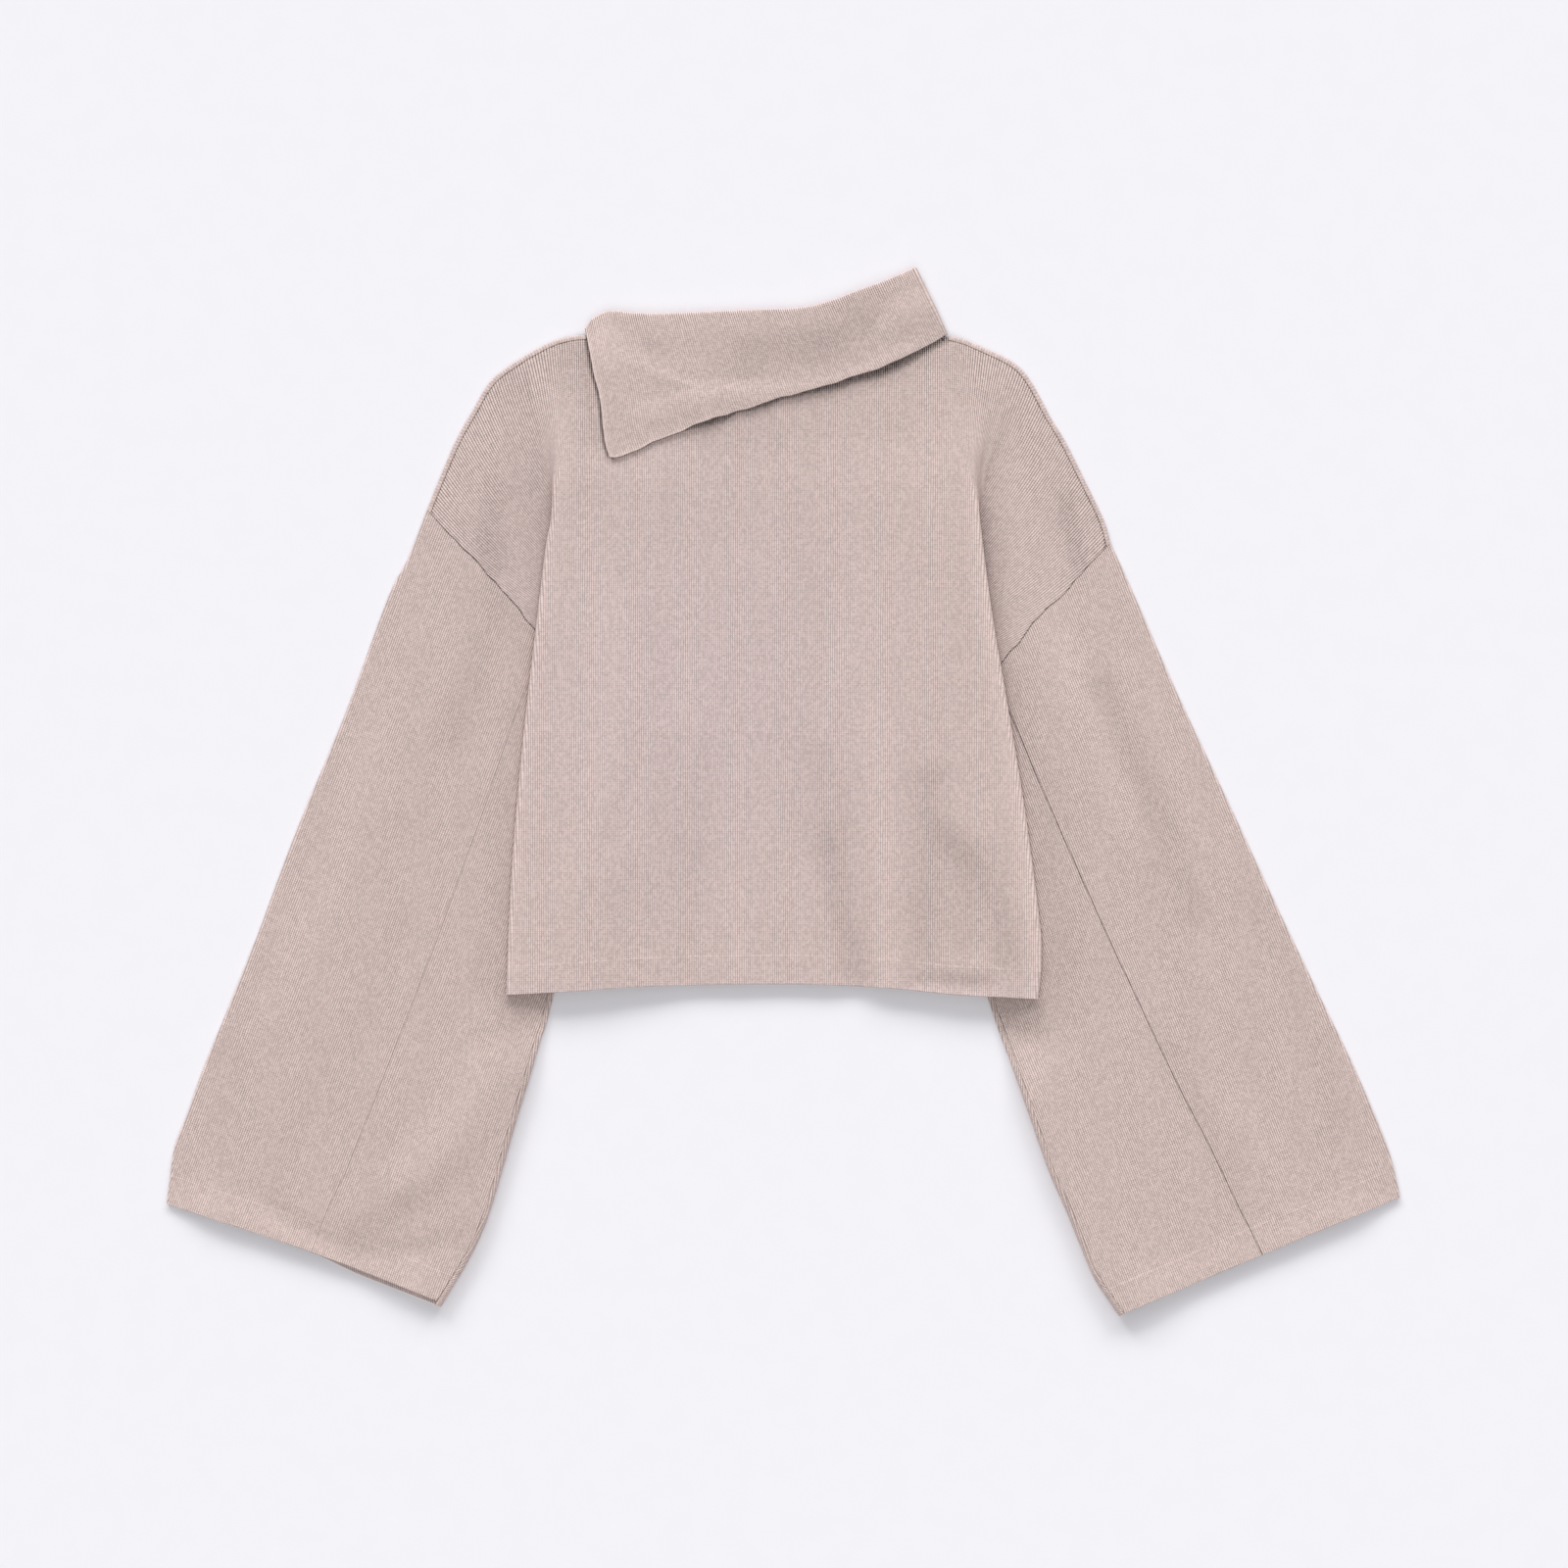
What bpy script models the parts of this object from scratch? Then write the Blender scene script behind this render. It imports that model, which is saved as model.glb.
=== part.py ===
"""Cropped knit sweater, laid flat and face up with its sleeves swung down beside the body.

Every piece is a closed wall of knit cloth. X runs across the sweater, Y from hem to neck and Z up
from the surface that it lies on; the tables are in millimetres. Layers are numbered upward from
the surface: layer 0 lies on it, and each layer above is one PITCH higher.
"""
import math

import bpy
import numpy as np

MM = 0.001

# Driving dimensions, mm.
CLOTH = 1.5
LAYER_GAP = 0.4
SEAM_GAP = 0.3
ARMHOLE_GAP = 0.8
PITCH = CLOTH + LAYER_GAP

# The body's side is folded under, front and back together, so five steps lie at its edge.
FOLD_LAYERS = 4
FOLD_INSET = 1.5 * PITCH + CLOTH / 2
FLAT_FOLD_INSET = PITCH / 2 + CLOTH / 2
SOFT_RUN = 12.0
SOFT_ANGLES = np.linspace(0.001, 0.6, 200)
HALF_FOLD_FULLNESS = 0.85
LEAST_RUN = 0.4
STEP_RUN = 34.0
STEP_CLEARANCE = 2.0
SLEEVE_COVER = 10.0
SLEEVE_COVER_ENDS = 1.35

# Stations down a panel: 0 at the shoulder seam, 1 at the underarm, 2 at the hem.
STATIONS = (0.0, 0.09, 0.17, 0.24, 0.29, 0.34, 0.355, 0.37, 0.39, 0.41, 0.5, 0.6, 0.7, 0.8, 0.89,
            0.965, 1.0, 1.08, 1.25, 1.45, 1.65, 1.82, 1.93, 2.0)
STEP_RISES = (0.2, 0.34)
STEP_TURNS_UNDER = (0.34, 0.41)
UNDER_FOLD_ENDS = 0.965
NECK_RUNS_OUT = 0.29

STEP_STEPS = 3
MIDDLE_STEPS = 6
NECK_STEPS = MIDDLE_STEPS + 2 * STEP_STEPS
ARC_STEPS = 4
UNDER_STEPS = 1
SHOULDER_STEPS = 3

# Each side of the body, x and y in mm: "shoulder" from neck to shoulder point, "armhole" from there
# to the underarm, "edge" the folded edge from shoulder to hem, "side_seam" from the underarm to the
# hem, hidden beneath.
SIDES = {
    "left": {
        "sign": -1,
        "shoulder": ((-142, 336), (-156, 335), (-172.5, 330), (-198, 315.5), (-216, 301),
                     (-229, 279.5), (-241, 258), (-253.5, 229), (-262, 207.5)),
        "armhole": ((-262, 207.5), (-252.5, 196.5), (-235, 178.5), (-209.5, 151), (-183.5, 120),
                    (-123.5, 45)),
        "edge": ((-168, 336), (-169.5, 265), (-170.5, 207), (-175, 178.5), (-182, 121), (-192, 34),
                 (-198.5, -38), (-202, -96), (-204, -150)),
        "side_seam": ((-123.5, 45), (-152, -30), (-176, -96), (-192, -150)),
    },
    "right": {
        "sign": 1,
        "shoulder": ((118, 335.5), (128, 334), (139.5, 330), (169.5, 315.5), (183, 301),
                     (196.5, 276), (207.5, 258), (222, 229), (236, 200), (241, 183)),
        "armhole": ((241, 183), (229, 170.5), (209, 148), (184, 123.5), (163, 97), (94.5, 25.5)),
        "edge": ((145, 334), (146, 265), (143.5, 236), (144.5, 207), (149.5, 164), (155.5, 121),
                 (163, 77.5), (177.5, -9.5), (189, -96), (190.5, -125), (188, -153)),
        "side_seam": ((94.5, 25.5), (128, -40), (158, -100), (176, -153)),
    },
}
FRONT_NECK = ((-142, 336), (-115, 316), (-71.5, 297.5), (-10, 290), (44, 299.5), (87, 319), (118, 335.5))
BACK_NECK = ((-142, 336), (-86, 330), (-10, 326.5), (58, 330), (118, 335.5))
HEM = ((-204, -150), (-151, -147), (-107.5, -144), (-57, -142.5), (11.5, -142), (73, -144.5),
       (109, -148), (131, -150), (188, -153))
BACK_HEM_RISE = 1.5

# Each sleeve, x and y in mm: "outer" its folded outer edge from the shoulder point, "inner" its
# inner edge from the underarm, "cuff" its open end from outer to inner corner. "panel_seam" says at
# what share of the sleeve's width the underarm panel starts, at the armhole and at the cuff, and
# "back_drop" how far the underside shows below the cuff.
SLEEVES = {
    "left": {
        "outer": ((-262, 207.5), (-276.5, 170.5), (-291, 142), (-323, 55.5), (-359, -31),
                  (-391.5, -117.5), (-427, -204.5), (-437, -233), (-448, -262), (-452, -287.5),
                  (-454, -304)),
        "inner": ((-123.5, 45), (-169, -150), (-178.5, -183.5), (-187, -213), (-198, -249),
                  (-206, -277.5), (-218, -316.5), (-231, -344.5), (-250.5, -376.5)),
        "cuff": ((-454, -304), (-351, -338), (-250.5, -376.5)),
        "panel_seam": (0.60, 0.52),
        "back_drop": 2.5,
    },
    "right": {
        "outer": ((241, 183), (259.5, 142), (284.5, 84.5), (311.5, 26.5), (338.5, -31),
                  (365.5, -89), (393, -146.5), (421, -204.5), (445, -262), (452, -287.5), (454.5, -299)),
        "inner": ((94.5, 25.5), (151.5, -154.5), (167.5, -200), (180.5, -237.5), (195.5, -280),
                  (209.5, -312), (227, -355), (237.5, -372), (247, -386)),
        "cuff": ((454.5, -299), (352.5, -341.5), (247, -386)),
        "panel_seam": (0.60, 0.49),
        "back_drop": 0.0,
    },
}
INNER_SEAM_INSET = 4.0
SLEEVE_ROWS = 13
MAIN_FRONT_STEPS = 5
PANEL_STEPS = 4
SLEEVE_BACK_STEPS = 8
RISE_TAPER = 0.2
DROP_SHARES = (0.45, 0.95)
DROP_STEEPNESS = 12

# The collar, x and y in mm: "roll" its folded top from the open end on the left, "flap_edge" the
# loose edge of the flap, "open_end" the flap's free end from the roll down.
ROLL = ((-144.5, 341.5), (-141.5, 347), (-134.5, 351), (-126.5, 353.5), (-101, 351.5), (-76.5, 352),
        (-21, 354.5), (11.5, 356), (33, 360.5), (54.5, 368.5), (76.5, 376.5), (97, 385.5))
FLAP_EDGE = ((-127.5, 245.5), (-119, 245.5), (-97, 255), (-68, 267), (-40.5, 276.5), (-14, 286),
             (26.5, 297.5), (71.5, 312), (107.5, 328.5), (122, 337))
OPEN_END = ((-145.5, 338.5), (-138.5, 308.5), (-135, 292), (-133, 266.5), (-127.5, 245.5))
SIDE_FOLD = ((122, 337), (98, 386))
BACK_FLAP_EDGE = ((-126, 262), (-70, 278), (0, 299), (60, 317), (122, 337))
BACK_OPEN_END = ((-141, 337), (-133, 300), (-126, 262))
COLLAR_LIFT_MARGIN = 25.0
COLLAR_LIFT_RUN = 30.0
SIDE_LIFT_RUN = 24.0
FRONT_CLEARANCE = 0.4
FLAP_CLEARANCE = 0.3
OPEN_CORNER_INSET = (1.2, 0.6)
BACK_ROLL_INSET = 1.0
STAND_STEPS = 2
FLAP_STEPS = 5

# Soft folds raised in the upper layers: place and half sizes in mm, angle of the crest in degrees
# from the X axis, height in mm.
SOFT_FOLDS = {
    "front": (
        {"x": -40, "y": 40, "length": 120, "width": 22, "angle": 88, "height": 2.0},
        {"x": 78, "y": -60, "length": 90, "width": 14, "angle": 91, "height": 2.4},
        {"x": 18, "y": -40, "length": 80, "width": 16, "angle": 86, "height": 1.4},
    ),
    "left": (
        {"x": -330, "y": -60, "length": 130, "width": 24, "angle": 70, "height": 2.4},
        {"x": -345, "y": -270, "length": 70, "width": 26, "angle": 55, "height": 2.6},
    ),
    "right": (
        {"x": 318, "y": -70, "length": 140, "width": 22, "angle": 115, "height": 2.6},
        {"x": 300, "y": -265, "length": 80, "width": 26, "angle": 118, "height": 2.2},
    ),
}

YARN_COLOUR = (0.604, 0.485, 0.456, 1.0)
YARN_ROUGHNESS = 0.85


def height_of(layer):
    """Height of the middle of a layer."""
    return CLOTH / 2 + layer * PITCH


def ease(value):
    """Smooth step from 0 to 1."""
    value = np.clip(value, 0.0, 1.0)
    return value * value * (3 - 2 * value)


def ease_between(value, limits):
    """Smooth step from 0 at the first limit to 1 at the second."""
    return ease((value - limits[0]) / (limits[1] - limits[0]))


def blend(first, second, share):
    """The share of the way from first to second."""
    return first + (second - first) * share


def spline(points, steps=12):
    """A smooth dense line through the points."""
    points = np.array(points, dtype=float)
    ends = np.vstack([2 * points[0] - points[1], points, 2 * points[-1] - points[-2]])
    line = []
    for before, start, stop, after in zip(ends, ends[1:], ends[2:], ends[3:]):
        for share in np.arange(steps) / steps:
            line.append(0.5 * (2 * start + (stop - before) * share
                               + (2 * before - 5 * start + 4 * stop - after) * share ** 2
                               + (3 * start - before - 3 * stop + after) * share ** 3))
    line.append(points[-1])
    return np.array(line)


def along(line, shares):
    """Points of a line at shares of its length."""
    lengths = np.linalg.norm(np.diff(line, axis=0), axis=1)
    travelled = np.concatenate([[0.0], np.cumsum(lengths)])
    wanted = np.atleast_1d(shares) * travelled[-1]
    columns = [np.interp(wanted, travelled, line[:, axis]) for axis in range(line.shape[1])]
    return np.stack(columns, axis=1)


def x_at(line, y):
    """X of a line that falls steadily in Y."""
    return np.interp(-np.asarray(y), -line[:, 1], line[:, 0])


def patch(top, bottom, left, right, down):
    """A grid filled in between its four edges; down holds each row's share of the way down."""
    across = np.linspace(0, 1, len(top))[None, :, None]
    down = np.asarray(down)[:, None, None]
    ruled = (1 - down) * top[None] + down * bottom[None] + (1 - across) * left[:, None] + across * right[:, None]
    corners = ((1 - across) * (1 - down) * top[0] + across * (1 - down) * top[-1]
               + (1 - across) * down * bottom[0] + across * down * bottom[-1])
    return ruled - corners


def normals_of(grid):
    """Unit normals of a grid of points whose columns run right and rows run down."""
    right = np.gradient(grid, axis=1)
    down = np.gradient(grid, axis=0)
    normal = np.cross(down, right)
    return normal / np.linalg.norm(normal, axis=2, keepdims=True)


def soft_rise(folds, x, y):
    """Height that the soft folds add at a place."""
    rise = np.zeros_like(x)
    for fold in folds:
        angle = math.radians(fold["angle"])
        ahead = (x - fold["x"]) * math.cos(angle) + (y - fold["y"]) * math.sin(angle)
        aside = (y - fold["y"]) * math.cos(angle) - (x - fold["x"]) * math.sin(angle)
        rise = rise + fold["height"] * np.exp(-(ahead / fold["length"]) ** 2 - (aside / fold["width"]) ** 2)
    return rise


def wall(name, upper, lower, cloth_at=None):
    """One closed solid between two grids of points, where cloth_at says that there is cloth."""
    rows, columns = upper.shape[:2]
    if cloth_at is None:
        cloth_at = np.ones((rows - 1, columns - 1), dtype=bool)
    corners = []
    for row, column in np.argwhere(cloth_at):
        corner = row * columns + column
        corners.append((corner, corner + columns, corner + columns + 1))
        corners.append((corner, corner + columns + 1, corner + 1))
    used = sorted({index for triangle in corners for index in triangle})
    place = {index: order for order, index in enumerate(used)}
    triangles = [tuple(place[index] for index in triangle) for triangle in corners]
    below = len(used)
    points = np.concatenate([upper.reshape(-1, 3)[used], lower.reshape(-1, 3)[used]]) * MM
    points[:, 2] = np.maximum(points[:, 2], 0.0)
    faces = triangles + [tuple(index + below for index in reversed(triangle)) for triangle in triangles]
    edges = {(triangle[side - 1], triangle[side]) for triangle in triangles for side in range(3)}
    for start, stop in sorted(edges):
        if (stop, start) not in edges:
            faces.append((stop, start, start + below))
            faces.append((stop, start + below, stop + below))
    mesh = bpy.data.meshes.new(name)
    mesh.from_pydata(points.tolist(), [], faces)
    mesh.shade_smooth()
    mesh.materials.append(knit_material(name))
    piece = bpy.data.objects.new(name, mesh)
    bpy.context.scene.collection.objects.link(piece)
    return piece


def knit_material(name):
    """Fine knit of dusty rose-beige yarn."""
    material = bpy.data.materials.new(name + "_knit")
    material.use_nodes = True
    shader = material.node_tree.nodes["Principled BSDF"]
    shader.inputs["Base Color"].default_value = YARN_COLOUR
    shader.inputs["Roughness"].default_value = YARN_ROUGHNESS
    shader.inputs["Metallic"].default_value = 0.0
    return material


class Side:
    """One side of the body, with its lines worked out at every station."""

    def __init__(self, name):
        table = SIDES[name]
        self.sign = table["sign"]
        self.shoulder = spline(table["shoulder"])
        self.armhole = spline(table["armhole"])
        self.edge = spline(table["edge"])
        self.side_seam = spline(table["side_seam"])
        self.sleeve_inner = spline(SLEEVES[name]["inner"])
        self.underarm = table["armhole"][-1]
        self.top = self.shoulder_height(self.edge[0, 0])
        self.hem = table["side_seam"][-1][1]

    def shoulder_height(self, x):
        """Y of the shoulder seam at x."""
        order = np.argsort(self.shoulder[:, 0])
        return np.interp(x, self.shoulder[order, 0], self.shoulder[order, 1])

    def height_at(self, station):
        """Y of a station on this side."""
        return np.interp(station, (0, 1, 2), (self.top, self.underarm[1], self.hem))

    def station_at(self, y):
        """Station of a Y on this side."""
        return np.interp(-y, (-self.top, -self.underarm[1], -self.hem), (0, 1, 2))

    def fold_start(self, y):
        """X where the full fold leaves the top of the body."""
        return x_at(self.edge, y) - self.sign * FOLD_INSET

    def under_end(self, y):
        """X where the part folded under ends: at the hidden fold, and below it at the side seam."""
        apex = self.height_at(STEP_TURNS_UNDER[1])
        share = (apex - y) / (apex - self.underarm[1])
        hidden = blend(self.fold_start(apex), self.underarm[0], share)
        return np.where(y > self.underarm[1], hidden, x_at(self.side_seam, y))

    def step_start(self, y):
        """X where the upper layers start to come down towards the middle of the body."""
        past_edge = x_at(self.edge, y) - self.sign * (SOFT_RUN + STEP_CLEARANCE)
        past_hidden = self.under_end(y) - self.sign * (PITCH + FOLD_INSET)
        above = np.maximum(past_edge * -self.sign, past_hidden * -self.sign) * -self.sign
        covered = ease_between(self.station_at(y), (1.0, SLEEVE_COVER_ENDS))
        past_sleeve = blend(PITCH + FOLD_INSET, -SLEEVE_COVER, covered)
        below = x_at(self.sleeve_inner, y) - self.sign * past_sleeve
        return np.where(y > self.underarm[1], above, below)

    def rise(self, x, y):
        """Share of the full fold height that a point of the middle of the body lies at."""
        inward = (x - self.step_start(y)) * -self.sign
        return ease_between(self.station_at(y), STEP_RISES) * (1 - ease(inward / STEP_RUN))

    def tuck(self, station):
        """Points from the middle of the body over the folded edge to the shoulder part."""
        y = self.height_at(station)
        drop = FOLD_LAYERS * PITCH * ease_between(station, STEP_RISES)
        soft_drops = 2 * math.pi * PITCH / SOFT_ANGLES * (1 - np.cos(SOFT_ANGLES))
        angle = np.interp(drop, soft_drops + SOFT_RUN * np.sin(SOFT_ANGLES), SOFT_ANGLES)
        radius = math.pi * PITCH / angle
        straight = SOFT_RUN
        turned = np.interp(station, STEP_TURNS_UNDER, (0, 1))
        if turned > 0:
            angle = blend(angle, math.pi, turned)
            fullness = blend(HALF_FOLD_FULLNESS, 1.0, angle / math.pi)
            radius = min(math.pi * PITCH / angle, fullness * 2 * PITCH / (1 - math.cos(angle)))
            straight = (drop - 2 * radius * (1 - math.cos(angle))) / max(math.sin(angle), SOFT_ANGLES[0])
        if turned == 1:
            straight = abs(self.fold_start(y) - self.under_end(y))
        straight = max(straight, LEAST_RUN)
        reach = radius if angle > math.pi / 2 else radius * math.sin(angle) + straight * math.cos(angle) / 2
        start = x_at(self.edge, y) - self.sign * (FOLD_INSET - PITCH + reach)
        path = fold_path(angle, radius, straight)
        x = start + self.sign * path[:, 0]
        z = height_of(0.5) + drop - path[:, 1]
        near_top = max(0.0, 1 - station / STEP_RISES[0])
        path_y = y + (self.shoulder_height(x) - self.top) * near_top
        return np.stack([x, path_y, z], 1)

    def shoulder_part(self, starts):
        """Grid from the hidden fold out to the armhole seam, a row for each station to the underarm."""
        shares = np.array([min(station, 1.0) for station in STATIONS])
        outside = self.shoulder[(self.shoulder[:, 0] - starts[0, 0]) * self.sign > 0]
        top = along(np.vstack([starts[0, :2], outside]), np.linspace(0, 1, SHOULDER_STEPS + 1))
        seam = along(self.armhole, shares)
        bottom = np.repeat(np.array([self.underarm], dtype=float), SHOULDER_STEPS + 1, axis=0)
        inner = starts[:, :2].copy()
        inner[shares >= 1] = self.underarm
        plan = patch(top, bottom, inner, seam, shares)
        return np.concatenate([plan, np.full(plan.shape[:2] + (1,), height_of(0.5))], axis=2)[:, 1:]

    def outward(self):
        """All points from the middle of the body outward, a row for each station.

        Below the underarm there is no shoulder part; there the last one goes on, to be left out."""
        tucks = [self.tuck(station) for station in STATIONS]
        parts = self.shoulder_part(np.array([tuck[-1] for tuck in tucks]))
        start = len(tucks[0]) - ARC_STEPS - 1
        rows = []
        for station, tuck, part in zip(STATIONS, tucks, parts):
            if station <= UNDER_FOLD_ENDS:
                under_fold = np.vstack([tuck[start:], part]) - tuck[start]
            rows.append(np.vstack([tuck[:start], tuck[start] + under_fold]))
        return np.array(rows)


def fold_path(angle, radius, straight):
    """Distances across and down along cloth that turns down, runs straight and turns level again."""
    turns = np.linspace(0, angle, ARC_STEPS + 1)
    first = radius * np.stack([np.sin(turns), 1 - np.cos(turns)], 1)
    ahead = straight * np.array([math.cos(angle), math.sin(angle)])
    shares = np.linspace(0, 1, UNDER_STEPS + 1)[1:-1, None]
    middle = first[-1] + shares * ahead
    back = angle - turns
    second = radius * np.stack([math.sin(angle) - np.sin(back), np.cos(back) - math.cos(angle)], 1)
    return np.concatenate([first, middle, first[-1] + ahead + second])


def collar_lift(x, y):
    """How far, in layers, the collar's back flap lifts the panels that lie on it."""
    edge = np.array(BACK_FLAP_EDGE, dtype=float)
    below = np.interp(x, edge[:, 0], edge[:, 1]) - COLLAR_LIFT_MARGIN - y
    past_left = SIDES["left"]["shoulder"][0][0] - x
    past_right = x - SIDES["right"]["shoulder"][0][0] - 4
    outside = np.maximum(below / COLLAR_LIFT_RUN, np.maximum(past_left, past_right) / SIDE_LIFT_RUN)
    return 1 - ease(outside)


def front_layer(sides, x, y):
    """Layer, counted from the surface, that the front lies at near the middle of the body."""
    layers = 1 + collar_lift(x, y)
    for side in sides:
        layers = layers + FOLD_LAYERS * side.rise(x, y)
    return layers


def body_grid(sides, neck, hem_rise):
    """Points half-way between front and back, from armhole to armhole and shoulder to hem."""
    outward = [side.outward() for side in sides]
    left, right = outward
    neckline = along(spline(neck), np.linspace(0, 1, NECK_STEPS + 1))
    top = np.vstack([left[0, 0, :2], neckline, right[0, 0, :2]])
    hem = spline(HEM)
    for points in outward:
        points[-1, :, 1] = np.interp(points[-1, :, 0], hem[:, 0], hem[:, 1])
    step = np.linspace(0, STEP_RUN, STEP_STEPS + 1)
    rows = []
    for row, station in enumerate(STATIONS):
        starts = [side.step_start(side.height_at(station)) - side.sign * step for side in sides]
        between = np.linspace(starts[0][-1], starts[1][-1], MIDDLE_STEPS + 1)[1:-1]
        stepped = np.concatenate([[left[row, 0, 0]], starts[0], between, starts[1][::-1], [right[row, 0, 0]]])
        x = blend(top[:, 0], stepped, ease(station / STEP_RISES[0]))
        share = (x - x[0]) / (x[-1] - x[0])
        top_share = (top[:, 0] - top[0, 0]) / (top[-1, 0] - top[0, 0])
        neck_dip = top[:, 1] - blend(top[0, 1], top[-1, 1], top_share)
        hem_dip = np.interp(x, hem[:, 0], hem[:, 1]) - blend(left[-1, 0, 1], right[-1, 0, 1], share)
        down = (left[0, 0, 1] - left[row, 0, 1]) / (left[0, 0, 1] - left[-1, 0, 1])
        y = blend(left[row, 0, 1], right[row, 0, 1], share) + down * hem_dip
        y = y + max(0.0, 1 - station / NECK_RUNS_OUT) * neck_dip
        z = height_of(front_layer(sides, x, y) - 0.5)
        rows.append(np.stack([x, y, z], 1))
    centre = np.array(rows)
    grid = np.concatenate([left[:, ::-1], centre[:, 1:-1], right], axis=1)
    grid[-1, :, 1] += hem_rise
    return grid


def make_body(sides):
    """Front and back panel, folded under together at the sides."""
    for name, neck, hem_rise, offset in (("front_panel", FRONT_NECK, 0.0, PITCH / 2),
                                         ("back_panel", BACK_NECK, BACK_HEM_RISE, -PITCH / 2)):
        grid = body_grid(sides, neck, hem_rise)
        normal = normals_of(grid)
        if offset > 0:
            side_columns = 2 * ARC_STEPS + UNDER_STEPS + SHOULDER_STEPS
            middle = slice(side_columns, grid.shape[1] - side_columns)
            rise = soft_rise(SOFT_FOLDS["front"], grid[:, middle, 0], grid[:, middle, 1])
            across = np.sin(np.linspace(0, math.pi, rise.shape[1]))[None]
            grid[:, middle, 2] += (rise + FRONT_CLEARANCE) * across
        upper = grid + normal * (offset + CLOTH / 2)
        lower = grid + normal * (offset - CLOTH / 2)
        cloth_at = np.ones((len(STATIONS) - 1, grid.shape[1] - 1), dtype=bool)
        below_underarm = STATIONS.index(UNDER_FOLD_ENDS)
        under_fold = ARC_STEPS + SHOULDER_STEPS
        cloth_at[below_underarm:, :under_fold] = False
        cloth_at[below_underarm:, -under_fold:] = False
        wall(name, upper, lower, cloth_at)


def sleeve_plan(name):
    """A function that gives the plan of a sleeve at shares of its width, for every row."""
    table = SLEEVES[name]
    sign = SIDES[name]["sign"]
    armhole = spline(SIDES[name]["armhole"]) + np.array([sign * 0.7, -0.7]) * ARMHOLE_GAP
    down = np.linspace(0, 1, SLEEVE_ROWS + 1)
    outer = along(spline(table["outer"]), down)
    inner = along(spline(table["inner"]), down)
    outer[0] = armhole[0]
    inner[0] = armhole[-1]
    cuff = spline(table["cuff"])

    def at(shares):
        shares = np.asarray(shares)
        points = []
        for row, share_down in enumerate(down):
            across = shares[row]
            top = along(armhole, across)
            bottom = along(cuff, across)
            ruled = (1 - share_down) * top + share_down * bottom
            ruled += (1 - across)[:, None] * outer[row] + across[:, None] * inner[row]
            ruled -= (1 - share_down) * ((1 - across)[:, None] * armhole[0] + across[:, None] * armhole[-1])
            ruled -= share_down * ((1 - across)[:, None] * cuff[0] + across[:, None] * cuff[-1])
            points.append(ruled)
        return np.array(points)

    return at, down, outer, inner


def away_from(edge, outward):
    """At each point of an edge, the way square to it, and how square the outward way is to it."""
    tangent = np.gradient(edge, axis=0)
    tangent /= np.linalg.norm(tangent, axis=1, keepdims=True)
    square = np.stack([tangent[:, 1], -tangent[:, 0]], 1)
    lean = (square * outward).sum(axis=1)
    return square * np.sign(lean)[:, None], np.abs(lean)


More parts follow.
